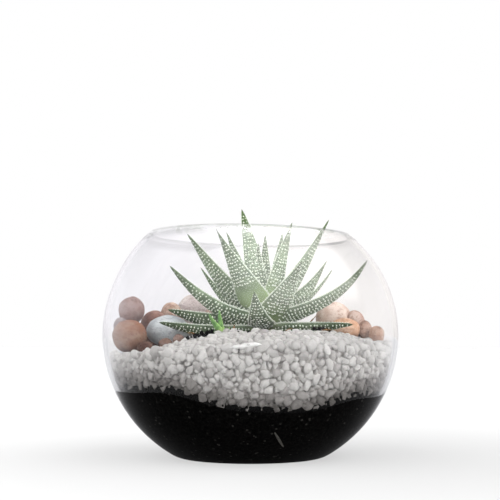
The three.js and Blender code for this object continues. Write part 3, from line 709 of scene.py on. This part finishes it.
LEAF_PULL = 0.38  # how far a leaf keeps its lean, as a share of its span
BLUNT_POINT = 0.8
SPINE_POINTS = 161
KEEL = 1.25  # depth of the underside, in half thicknesses
CROWN = 0.55  # and height of the upper side
EDGE_RISE = 0.7
SHOULDER = 0.88  # share of the half width that the round of the section fills, short of its thin edge


class Blade:
    """The form of one leaf: a bent spine with a keeled section that narrows to a point."""

    def __init__(
        self, seat, turn, foot, reach, tip, lean_foot, lean_tip, wide, thick, roll, pointed, start=LEAF_START
    ):
        self.wide = wide
        self.pointed = pointed
        self.thick = thick
        self.roll = radians(roll)
        heading = radians(turn)
        outwards = Vector((cos(heading), sin(heading), 0))
        self.across = Vector((-sin(heading), cos(heading), 0))
        first = seat + outwards * start + UP * foot
        last = seat + outwards * reach + UP * tip
        pull = (last - first).length * LEAF_PULL
        slope = [radians(lean) for lean in (lean_foot, lean_tip)]
        near = first + (outwards * cos(slope[0]) + UP * sin(slope[0])) * pull
        far = last - (outwards * cos(slope[1]) + UP * sin(slope[1])) * pull
        self.spine = interpolate_bezier(first, near, far, last, SPINE_POINTS)
        self.gone = [0.0]
        for a, b in zip(self.spine, self.spine[1:]):
            self.gone.append(self.gone[-1] + (b - a).length)
        self.length = self.gone[-1]

    def middle(self, share):
        """A place on the spine and its direction, at a share of the length."""
        want = min(max(share, 0.0), 1.0) * self.length
        low = min(bisect(self.gone, want), SPINE_POINTS - 1) - 1
        part = (want - self.gone[low]) / (self.gone[low + 1] - self.gone[low])
        along = (self.spine[low + 1] - self.spine[low]).normalized()
        return self.spine[low].lerp(self.spine[low + 1], part), along

    def taper(self, share):
        foot = mix(0.72, 1, eased(share, 0, 0.2))
        return foot * max(0.0, 1 - share) ** self.pointed * (1 + 0.35 * share)

    def point(self, share, turn):
        """A place on the skin. The edges lie at turns 0 and pi, and the upper side between them."""
        middle, along = self.middle(share)
        side = Matrix.Rotation(self.roll, 3, along) @ self.across
        above = along.cross(side)
        taper = self.taper(share)
        half_wide = 0.5 * self.wide * taper
        half_thick = 0.5 * self.thick * (0.25 + 0.75 * taper) * (1 - 0.35 * share)
        bulge = abs(sin(turn))
        reach = SHOULDER + (1 - SHOULDER) * abs(cos(turn)) ** 8
        depth = CROWN * bulge if sin(turn) >= 0 else -KEEL * bulge**0.9
        out = side * cos(turn) * (half_wide * reach)
        return middle + out + above * ((EDGE_RISE + depth) * half_thick)

    def normal(self, share, turn):
        """The way along the leaf at a place on its skin, and the way out of it."""
        step = 0.01
        along = self.point(share + step, turn) - self.point(share - step, turn)
        around = self.point(share, turn + 0.05) - self.point(share, turn - 0.05)
        return along, around.cross(along).normalized()


FIRST_RING = 0.01
LAST_RING = 0.985


def leaf_layers(mesh):
    return {key: mesh.verts.layers.float.new(key) for key in ("turn", "along", "edge", "dot", "heart")}


def leaf_skin(mesh, blade, rows, sides, layers):
    """Draws the skin of a leaf from its foot to its point, ring by ring."""
    first = bmesh.ops.create_circle(mesh, segments=sides, radius=1)["verts"]
    for corner in first:
        place = round(atan2(corner.co.y, corner.co.x) / tau * sides)
        corner[layers["turn"]] = place / sides * tau
        half_turns = corner[layers["turn"]] / pi
        corner[layers["edge"]] = 1.0 if abs(half_turns - round(half_turns)) < 1e-3 else 0.0
    ring = first
    for row in range(rows + 1):
        share = mix(FIRST_RING, LAST_RING, (row / rows) ** 0.94)
        if row:
            edges = dict.fromkeys(e for v in ring for e in v.link_edges if all(w in ring for w in e.verts))
            grown = bmesh.ops.extrude_edge_only(mesh, edges=list(edges))["geom"]
            ring = [g for g in grown if isinstance(g, bmesh.types.BMVert)]
        for corner in ring:
            corner.co = blade.point(share, corner[layers["turn"]])
            corner[layers["along"]] = share
    for end, share in ((first, 0.0), (ring, 1.0)):
        bmesh.ops.pointmerge(mesh, verts=end, merge_co=blade.middle(share)[0])


def add_dot(mesh, layers, blade, share, turn, size):
    """A raised dot: size holds its half lengths along the leaf, across it, and out of it."""
    along, out = blade.normal(share, turn)
    along = (along - out * along.dot(out)).normalized()
    axes = Matrix((along, out.cross(along), out)).transposed()
    place = Matrix.Translation(blade.point(share, turn)) @ (axes @ Matrix.Diagonal(size)).to_4x4()
    for corner in bmesh.ops.create_icosphere(mesh, subdivisions=1, radius=1, matrix=place)["verts"]:
        corner[layers["dot"]] = 1.0
        corner[layers["along"]] = share


DOT_ROW = 1.8  # spacing of the rows of dots along a leaf
DOT_GAP = 1.72  # and of the dots in a row
DOT_HALF = ((0.46, 0.62), (0.52, 0.86), (0.34, 0.46))  # limits of its half sizes along, across and out
DOT_MISSING = 0.08  # chance that a dot is left out
DOT_DRIFT = 0.17  # furthest shift of a dot within its row, in gaps
TOOTH_GAP = 1.3
LEAF_ROW = 1.4  # spacing of the rings of a leaf's skin
LEAF_SIDES = 20
# The share of a leaf's length without dots, and how yellow its foot is.
SMOOTH_FEET = {"front_left": 0.36, "heart_right": 0.3, "front_right": 0.2, "left_inner": 0.3}
YELLOW_FEET = {
    "heart_right": 0.9, "front_right": 0.6, "right_upper": 0.5, "front_left": 0.8, "heart_back": 0.4
}


def make_leaf(name, *shape, finish, seed):
    """A leaf with rows of raised dots on both sides and a line of teeth on both edges."""
    blade = Blade(PLANT, *shape)
    chance = random.Random(seed)
    mesh = bmesh.new()
    layers = leaf_layers(mesh)
    leaf_skin(mesh, blade, max(24, round(blade.length / LEAF_ROW)), LEAF_SIDES, layers)
    face_out(mesh)
    for corner in mesh.verts:
        near_foot = 1 - eased(corner[layers["along"]], 0.12, 0.45)
        corner[layers["heart"]] = YELLOW_FEET.get(name, 0.0) * near_foot
    obstacles.append(BVHTree.FromBMesh(mesh))
    rows = round(blade.length * 0.88 / DOT_ROW)
    for row in range(rows):
        share = mix(0.07, 0.945, (row + 0.5) / rows)
        wide = blade.wide * blade.taper(share)
        count = max(1, round(wide * 1.08 / DOT_GAP))
        small = mix(1.05, 0.6, share) * mix(0.7, 1.0, eased(share, 0.02, 0.2))
        for upper in (True, False):
            for i in range(count):
                if chance.random() < DOT_MISSING or share < SMOOTH_FEET.get(name, 0.0):
                    continue
                place = (i + 0.5 + chance.uniform(-DOT_DRIFT, DOT_DRIFT)) / count
                turn = acos(1 - 2 * min(0.97, max(0.03, place))) + (0 if upper else pi)
                where = share + chance.uniform(-0.4, 0.4) / blade.length
                size = [chance.uniform(*limits) * small for limits in DOT_HALF]
                add_dot(mesh, layers, blade, where, turn, size)
    teeth = round(blade.length * 0.9 / TOOTH_GAP)
    for side in (0.0, pi):
        for i in range(teeth):
            share = mix(0.06, 0.96, (i + chance.uniform(0.2, 0.8)) / teeth)
            small = mix(1.0, 0.5, share)
            size = (0.62 * small, 0.46 * small, chance.uniform(0.5, 0.72) * small)
            add_dot(mesh, layers, blade, share, side, size)
    settle(mesh, "leaf_" + name + "_dotted", finish, "leaf", "leaf_" + name)


SHOOT = PLANT + Vector((-21, -13, 60.6))
# For each leaf the same values as above, without name and taper.
SHOOT_LEAVES = [
    (176, 1.4, 7.2, 11.6, 50, 66, 4.6, 2.2, 50),
    (165, 1.4, 2, 13.6, 70, 84, 4.8, 2.4, 60),
    (330, 1.4, 4.4, 4.6, 30, 60, 3.8, 2, 0),
    (205, 1.2, 5.4, 2.6, 4, 20, 4.2, 1.8, 0),
]
SHOOT_START = 0.3
SHOOT_FOOT = [(0, -2.4), (1.4, -2.2), (1.9, -0.8), (1.9, 0.6), (1.3, 2.2), (0, 2.8)]


def make_shoot(finish):
    """The young shoot: a small bulb with four leaves."""
    mesh = turned(SHOOT_FOOT, 24)
    layers = leaf_layers(mesh)
    bmesh.ops.translate(mesh, vec=SHOOT, verts=mesh.verts)
    for shape in SHOOT_LEAVES:
        leaf_skin(mesh, Blade(SHOOT, *shape, BLUNT_POINT, SHOOT_START), 22, 16, layers)
    face_out(mesh)
    settle(mesh, "offset_shoot_leaves", finish, "young_leaf", "offset_shoot")


# Node, foot from the plant, the way it points, reach, tip, lean at the foot and the tip, and width.
DRY_LEAVES = [
    ("left", (-33, -15.4, 59.7), 160, 6, 2.6, 50, -10, 2.2),
    ("shoot", (-16, -13.5, 60.9), 70, 4, 5.6, 60, 30, 2.4),
    ("front", (9.5, -15.5, 60.9), 20, 5, 3.4, 60, -10, 2.2),
    ("right", (22, 9, 62), 350, 5.6, 9.6, 70, 40, 2.6),
    ("low", (27.5, -10.5, 62.2), 345, 6.5, 1.4, 25, -20, 2),
]
DRY_THICK = 1.5
DRY_ROLL = 20
WRINKLE = 0.35


def make_dry_leaf(name, place, turn, reach, tip, lean_foot, lean_tip, wide, finish, seed):
    """A withered leaf, curled and wrinkled."""
    mesh = bmesh.new()
    layers = leaf_layers(mesh)
    shape = (turn, 0, reach, tip, lean_foot, lean_tip, wide, DRY_THICK, DRY_ROLL, BLUNT_POINT, 0)
    blade = Blade(PLANT + Vector(place), *shape)
    leaf_skin(mesh, blade, 26, 14, layers)
    face_out(mesh)
    for corner in mesh.verts:
        spot = corner.co * 0.9 + Vector((seed, 0, 0))
        corner.co += Vector([noise.noise(spot + UP * 17 * axis) for axis in range(3)]) * WRINKLE
    settle(mesh, "dry_leaf_" + name + "_husk", finish, "dry_leaf", "dry_leaf_" + name)


# ---- loose gravel and crumbs

CHIP_SHAPES = 14
CHIP_CUTS = 9
CUT_NEAREST = 0.58  # from a chip's middle to its flat faces
CUT_FURTHEST = 0.82
CHIP_WORN = 0.2  # corners nearer to each other than this become one


def any_way(chance):
    return Vector([chance.gauss(0, 1) for _ in range(3)]).normalized()


def chip_shapes(count, chance):
    """Chips of crushed stone with worn edges, about one unit in radius, cut flat on several sides."""
    shapes = []
    for _ in range(count):
        mesh = bmesh.new()
        bmesh.ops.create_icosphere(mesh, subdivisions=2, radius=1)
        for _ in range(CHIP_CUTS):
            facing = any_way(chance)
            spot = facing * chance.uniform(CUT_NEAREST, CUT_FURTHEST)
            all_of = mesh.verts[:] + mesh.edges[:] + mesh.faces[:]
            bmesh.ops.bisect_plane(mesh, geom=all_of, plane_co=spot, plane_no=facing, clear_outer=True)
            bmesh.ops.holes_fill(mesh, edges=mesh.edges[:])
        bmesh.ops.remove_doubles(mesh, verts=mesh.verts, dist=CHIP_WORN)
        face_out(mesh)
        shape = bpy.data.meshes.new("chip")
        mesh.to_mesh(shape)
        mesh.free()
        shapes.append(shape)
    return shapes


class Scatter:
    """Keeps scattered places at least a given distance apart."""

    def __init__(self, apart):
        self.apart = apart
        self.cells = {}

    def cell(self, place):
        return tuple(floor(part / self.apart) for part in place)

    def take(self, place):
        """Keeps a place if no other is too near, and says whether it did."""
        home = self.cell(place)
        for step in product((-1, 0, 1), repeat=3):
            near = self.cells.get(tuple(a + b for a, b in zip(home, step)), ())
            if any((other - place).length < self.apart for other in near):
                return False
        self.keep(place)
        return True

    def keep(self, place):
        self.cells.setdefault(self.cell(place), []).append(place)


def blocked(place, room):
    """Whether a leaf or a pebble comes nearer than the room that a chip needs."""
    return any(tree.find_nearest(place, room)[0] is not None for tree in obstacles)


def in_a_pebble(place):
    for _, middle, half, turn, *_ in PEBBLES:
        off = Matrix.Rotation(-radians(turn), 3, "Z") @ (place - Vector(middle))
        if (off.x / half[0]) ** 2 + (off.y / half[1]) ** 2 + (off.z / half[2]) ** 2 < 1:
            return True
    return False


DIRT_HEIGHT = 12.5  # from the soil line to where the chips are clean
DIRT_BESIDE = 1.5  # and how much higher that is at the left and right
DIRT_WAVES = 3.0


def dirt(place):
    """How much soil clings to a chip: 1 at the soil line, none well above it."""
    turn = atan2(place.y, place.x)
    beside = eased(abs(cos(turn)), 0.6, 0.95)
    high = DIRT_HEIGHT + DIRT_BESIDE * beside + DIRT_WAVES * noise.noise(Vector((turn * 6, 0, 3)))
    return 1 - eased(place.z - soil_line(turn), -0.5, high)


def lay_chips(name, spots, shapes, chance, finish):
    """Chips turned and stretched at random, each with its own shade, in one piece."""
    mesh = bmesh.new()
    shade = mesh.verts.layers.float.new("shade")
    for spot, size in spots:
        start = len(mesh.verts)
        mesh.from_mesh(chance.choice(shapes))
        mesh.verts.ensure_lookup_table()
        chip = mesh.verts[start:]
        turn = Matrix.Rotation(chance.uniform(0, tau), 3, any_way(chance))
        long_ways = Matrix.Diagonal([size * chance.uniform(0.84, 1.36) for _ in range(3)])
        bmesh.ops.transform(mesh, matrix=Matrix.Translation(spot) @ (turn @ long_ways).to_4x4(), verts=chip)
        clean = min(1.0, max(0.35, chance.gauss(0.6, 0.13)))
        own = clean * (1 - dirt(spot) * chance.uniform(0.8, 1.0))
        for corner in chip:
            corner[shade] = own
            kept_inside(corner.co)
    settle(mesh, name, finish, "gravel")


CROWN_RISE = 0.5  # by which a crown of the solid gravel stands above its ring of corners


def crowns():
    """Where the solid gravel's chips stand up: their crowns and the ways they face."""
    solid = bmesh.new()
    solid.from_mesh(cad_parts["gravel"].data)
    bmesh.ops.remove_doubles(solid, verts=solid.verts, dist=1e-6)
    bmesh.ops.scale(solid, vec=(1 / MM, 1 / MM, 1 / MM), verts=solid.verts)
    solid.normal_update()
    found = []
    for corner in solid.verts:
        ring = [edge.other_vert(corner).co for edge in corner.link_edges]
        rise = (corner.co - sum(ring, Vector()) / len(ring)).dot(corner.normal)
        outwards = Vector((*corner.co.xy, 0)).normalized()
        if rise > CROWN_RISE and (corner.normal.z > 0.3 or outwards.dot(corner.normal) > 0.5):
            found.append((corner.co.copy(), corner.normal.copy()))
    solid.free()
    return found


SIDE_DEPTH = 4.5  # of the chips that are counted as lying against the glass


def is_beside(place):
    """Whether a chip lies against the glass, and not on the bed's top."""
    return hypot(place.x, place.y) > inner_radius(place.z) - SIDE_DEPTH


BIG_CHIPS_APART = 3.3
BIG_CHIPS = (2.6, 3.3)  # smallest and largest size
# For each round of chips between the big ones: how far apart they lie, how many places are tried, their
# smallest and largest size, and how deep they lie.
CHIP_ROUNDS = [(3.7, 9000, 2.2, 2.9, 0.0), (2.5, 16000, 1.3, 1.9, 0.9)]
CHIP_ROOM = 1.0  # from a big chip's middle to a leaf or pebble
SMALL_CHIP_ROOM = 0.9
CLEAR_FOOT = 0.72  # share of the root ball that stays free of chips


def chip_spots(chance):
    """Big chips on the solid's crowns, others between them, then small ones deeper in the gaps."""
    big = Scatter(BIG_CHIPS_APART)
    spots = []
    for crown, facing in crowns():
        size = chance.uniform(*BIG_CHIPS)
        place = crown - facing * size * 0.8
        if not in_a_pebble(place) and not blocked(place, CHIP_ROOM) and big.take(place):
            spots.append((place, size))
    for apart, tries, smallest, largest, deep in CHIP_ROUNDS:
        free = Scatter(apart)
        for place, _ in spots:
            free.keep(place)
        for _ in range(tries):
            size = chance.uniform(smallest, largest)
            turn = chance.uniform(0, tau)
            low = soil_line(turn) - 0.7 + 1.6 * noise.noise(Vector((turn * 9, 0, 0)))
            high = gravel_line_at_glass(turn) - 0.6 * size
            place = wall_point(turn, chance.uniform(low, high), size * 0.85 + deep)
            if not in_a_pebble(place) and free.take(place):
                spots.append((place, size))
        for _ in range(tries * 2):
            size = chance.uniform(smallest, largest)
            x = chance.uniform(-BESIDE_GLASS, BESIDE_GLASS)
            y = chance.uniform(-BESIDE_GLASS, BESIDE_GLASS)
            height = gravel_line(x, y) - size * 0.75 - deep * 0.5 + chance.uniform(-0.4, 0.3)
            root = hypot((x - PLANT.x) / PLUG_WIDE, (y - PLANT.y) / PLUG_DEEP)
            stray = root < 1.0 and chance.random() > 0.02 + 0.5 * max(0.0, root - CLEAR_FOOT)
            if hypot(x, y) > inner_radius(height) - 2.4 or root < CLEAR_FOOT or stray:
                continue
            place = Vector((x, y, height))
            if not in_a_pebble(place) and not blocked(place, SMALL_CHIP_ROOM) and free.take(place):
                spots.append((place, size))
    return spots


FLAKE_TURN = radians(268.8)
FLAKE_HEIGHT = 56.2
FLAKE_INSET = 1.3
FLAKE_HALF = (8.2, 1.4, 1.3)
FLAKE_TILT = radians(-5)


def lay_flake(finish, shape):
    """The one long pale flake that lies at the top of the gravel in front."""
    mesh = bmesh.new()
    shade = mesh.verts.layers.float.new("shade")
    mesh.from_mesh(shape)
    place = Matrix.Translation(wall_point(FLAKE_TURN, FLAKE_HEIGHT, FLAKE_INSET))
    turn = Matrix.Rotation(FLAKE_TILT, 4, "Y")
    bmesh.ops.transform(mesh, matrix=place @ turn @ Matrix.Diagonal((*FLAKE_HALF, 1)), verts=mesh.verts)
    for corner in mesh.verts:
        corner[shade] = 1.0
        kept_inside(corner.co)
    settle(mesh, "gravel_flake", finish, "gravel")


BALL_CRUMBS = 420
LINE_CRUMBS = 120
CRUMB_HEAPS = ((-24, -17, 6, 42), (37, -7, 4, 22))  # x, y, width and count


def make_crumbs(finish, chance):
    """Loose crumbs of soil on the root ball and along the line where soil and gravel meet."""
    mesh = bmesh.new()
    spots = []
    for _ in range(BALL_CRUMBS):
        turn = chance.uniform(0, tau)
        reach = sqrt(chance.uniform(0.0, 1.1))
        spot = plug_point(turn, PLUG_TOP + chance.uniform(0.8, 2.2), share=reach)
        spots.append((spot, chance.uniform(0.5, 1.3)))
    for x, y, wide, count in CRUMB_HEAPS:
        for _ in range(count):
            spot = Vector((x + chance.gauss(0, wide / 2), y + chance.gauss(0, 1.6), 0))
            spot.z = gravel_line(spot.x, spot.y) + chance.uniform(-0.2, 1.6)
            spots.append((spot, chance.uniform(0.5, 1.2)))
    for _ in range(LINE_CRUMBS):
        turn = chance.uniform(0, tau)
        size = chance.uniform(0.4, 0.9)
        height = soil_line(turn) + chance.gauss(-0.6, 0.5)
        spots.append((wall_point(turn, height, size * 0.8), size))
    for spot, size in spots:
        stretch = Matrix.Diagonal([size * chance.uniform(0.7, 1.3) for _ in range(3)]).to_4x4()
        place = Matrix.Translation(spot) @ stretch
        for corner in bmesh.ops.create_icosphere(mesh, subdivisions=1, radius=1, matrix=place)["verts"]:
            corner.co += Vector([chance.uniform(-0.25, 0.25) * size for _ in range(3)])
            kept_inside(corner.co)
    settle(mesh, "soil_crumbs", finish, "soil", smooth=False)


# ---- the terrarium

obstacles = []  # leaves and pebbles, which the loose chips keep clear of

make_bowl(glass_finish())
earth = soil_finish()
make_soil(earth)
make_under_bed(under_bed_finish())
for number, pebble in enumerate(PEBBLES, 1):
    make_pebble(number, *pebble)
green_leaf = leaf_finish()
for number, leaf in enumerate(LEAVES):
    make_leaf(*leaf, finish=green_leaf, seed=100 + number)
make_shoot(young_leaf_finish())
withered = dry_leaf_finish()
for number, dry in enumerate(DRY_LEAVES):
    make_dry_leaf(*dry, finish=withered, seed=number * 5.3)
stem_look = stem_finish()
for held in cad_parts["stem"].material_slots:
    held.material = stem_look

chances = random.Random(7)
chips = chip_shapes(CHIP_SHAPES, chances)
crushed = gravel_finish()
chip_places = chip_spots(chances)
beside = [spot for spot in chip_places if is_beside(spot[0])]
on_top = [spot for spot in chip_places if not is_beside(spot[0])]
lay_chips("gravel_side_chips", beside, chips, chances, crushed)
lay_chips("gravel_top_chips", on_top, chips, chances, crushed)
lay_flake(crushed, chips[0])
make_crumbs(earth, chances)
for shape in chips:
    bpy.data.meshes.remove(shape)

# ---- floor, light and camera

FLOOR_HALF = 12.0  # metres


def make_floor():
    """A wide pale floor that glows, with a painted soft shadow near the bowl and on the right. The glass
    mirrors and bends its far part as a painted pale grey glow, dark in front and under the bowl.
    """
    mesh = bmesh.new()
    bmesh.ops.create_grid(mesh, x_segments=2, y_segments=2, size=FLOOR_HALF)
    data = bpy.data.meshes.new("floor")
    mesh.to_mesh(data)
    mesh.free()
    ground = placed("floor", data)
    pale = recipe("pale_floor_painted_shadow")
    diffuse = pale.node("BsdfDiffuse", ((0.2, 0.2, 0.2, 1),))
    spot = pale.places(1.0)
    aside = pale.axis(spot, "X")
    depth = pale.axis(spot, "Y")
    away = pale.vector("LENGTH", spot, output="Value")
    # painted shadow: the glow the camera sees is dimmer near the bowl and on the right
    painted_shadow_lift = away.over(0.08, 0.3) * 0.14 + 0.59 - aside.over(-0.15, 0.15) * 0.09
    lift = pale.node("Emission", ((1, 1, 1, 1), painted_shadow_lift))
    seen = pale.node("AddShader", (diffuse, lift))
    through = pale.ray("Transmission")
    # painted shadow: through the glass the floor glows dark under and near the bowl, paler further off
    beyond = away.over(0.05, 0.18) * 0.75
    # painted reflection: to mirrored rays the floor is a grey glow, dark in front and pale behind
    strength = depth.over(-0.06, 0.3) * 1.05 * (1 - through) + beyond * through + 0.01
    grey = pale.node("Emission", ((0.97, 0.97, 1.0, 1), strength))
    both = pale.node("MixShader", (pale.ray("Glossy"), seen, grey))
    pale.node("OutputMaterial", (both,))
    data.materials.append(pale.owner)
    ground.visible_shadow = False


BOX_GLOW = 4.4


def make_light():
    """A white room with one soft box overhead, which the front of the glass mirrors."""
    room = Recipe(bpy.context.scene.world or bpy.data.worlds.new("studio"))
    bpy.context.scene.world = room.owner
    way = room.node("TexCoord", output="Generated")
    x, y, z = (room.axis(way, name) for name in "XYZ")
    flat_x = x / (z + 0.001)
    flat_y = y / (z + 0.001)
    box = flat_x.over(-0.5, 0.1) * (1 - flat_x.over(0.9, 3.5) * 0.9)
    box = box * flat_y.over(-4.0, -0.1) * (1 - flat_y.over(0.12, 0.62)) * z.over(0.15, 0.4)
    above = z.over(0.1, 0.65)
    gap = flat_y.over(0.2, 0.7) * (1 - flat_y.over(1.6, 3.0))
    behind = y.over(-0.35, 0.35) * z.over(-0.25, 0.1)
    mirrored = above * (1 - gap * 0.8) + behind * (1 - above) + 0.04 + box * BOX_GLOW
    lighting = z.over(-0.2, 0.9) * 0.3 + 0.45
    camera, through, glossy = (room.ray(kind) for kind in ("Camera", "Transmission", "Glossy"))
    glazed = through * (y.over(-0.3, 0.2) + z.over(-0.05, 0.15))
    strength = glossy * mirrored + (1 - glossy) * lighting
    direct = (camera + glazed).over(0.0, 1.0)
    seen = through * (z.over(-0.02, 0.16) * 0.1 - 0.05) + 1.0
    strength = direct * seen + (1 - direct) * strength
    side = room.blend(x.over(-1.0, 1.0), (0.95, 0.94, 1.0, 1), (1.0, 0.965, 0.95, 1))
    colour = room.blend(glossy * (1 - direct), (1, 1, 1, 1), side)
    beyond = room.blend(x.over(-0.13, 0.13), (0.985, 0.968, 1.0, 1), (1.0, 0.965, 0.945, 1))
    colour = room.blend(through, colour, beyond)
    glow = room.node("Background", (colour, strength))
    room.node("OutputWorld", (glow,))


# Name, strength, spread, pitch from straight down, and heading.
LAMPS = [
    ("lamp_above", 0.5, 100, 25, 0),
    ("lamp_front", 0.3, 130, 80, 5),
    ("lamp_front_left", 3.3, 110, 72, -66),
    ("lamp_front_right", 4.6, 110, 72, 68),
    ("lamp_table_bounce", 0.6, 130, 110, 0),
    ("lamp_behind", 0.4, 80, 50, 180),
]


def make_lamps():
    """Broad lamps that only light the object. What the glass mirrors is the room itself."""
    for name, strength, spread, pitch, heading in LAMPS:
        data = bpy.data.lights.new(name, "SUN")
        data.energy = strength
        data.angle = radians(spread)
        data.cycles.use_multiple_importance_sampling = False
        lamp = placed(name, data)
        lamp.rotation_euler = (radians(pitch), 0, radians(heading))
        lamp.visible_camera = False
        lamp.visible_glossy = False
        lamp.visible_transmission = False


LENS = 78.88
CAMERA_PLACE = (-0.000217, -0.562, 0.0571)  # metres
CAMERA_RISE = 4.876  # degrees that it looks up


def make_camera():
    data = bpy.data.cameras.new("camera")
    data.lens = LENS
    data.clip_start = 0.01
    camera = placed("camera", data)
    camera.location = CAMERA_PLACE
    camera.rotation_euler = (radians(90 + CAMERA_RISE), 0, 0)
    bpy.context.scene.camera = camera


make_floor()
make_light()
make_lamps()
make_camera()

BOUNCES = 24

scene = bpy.context.scene
scene.view_settings.view_transform = "Standard"
scene.cycles.caustics_reflective = False
scene.cycles.caustics_refractive = False
scene.cycles.max_bounces = BOUNCES
scene.cycles.transmission_bounces = BOUNCES
scene.cycles.transparent_max_bounces = 16
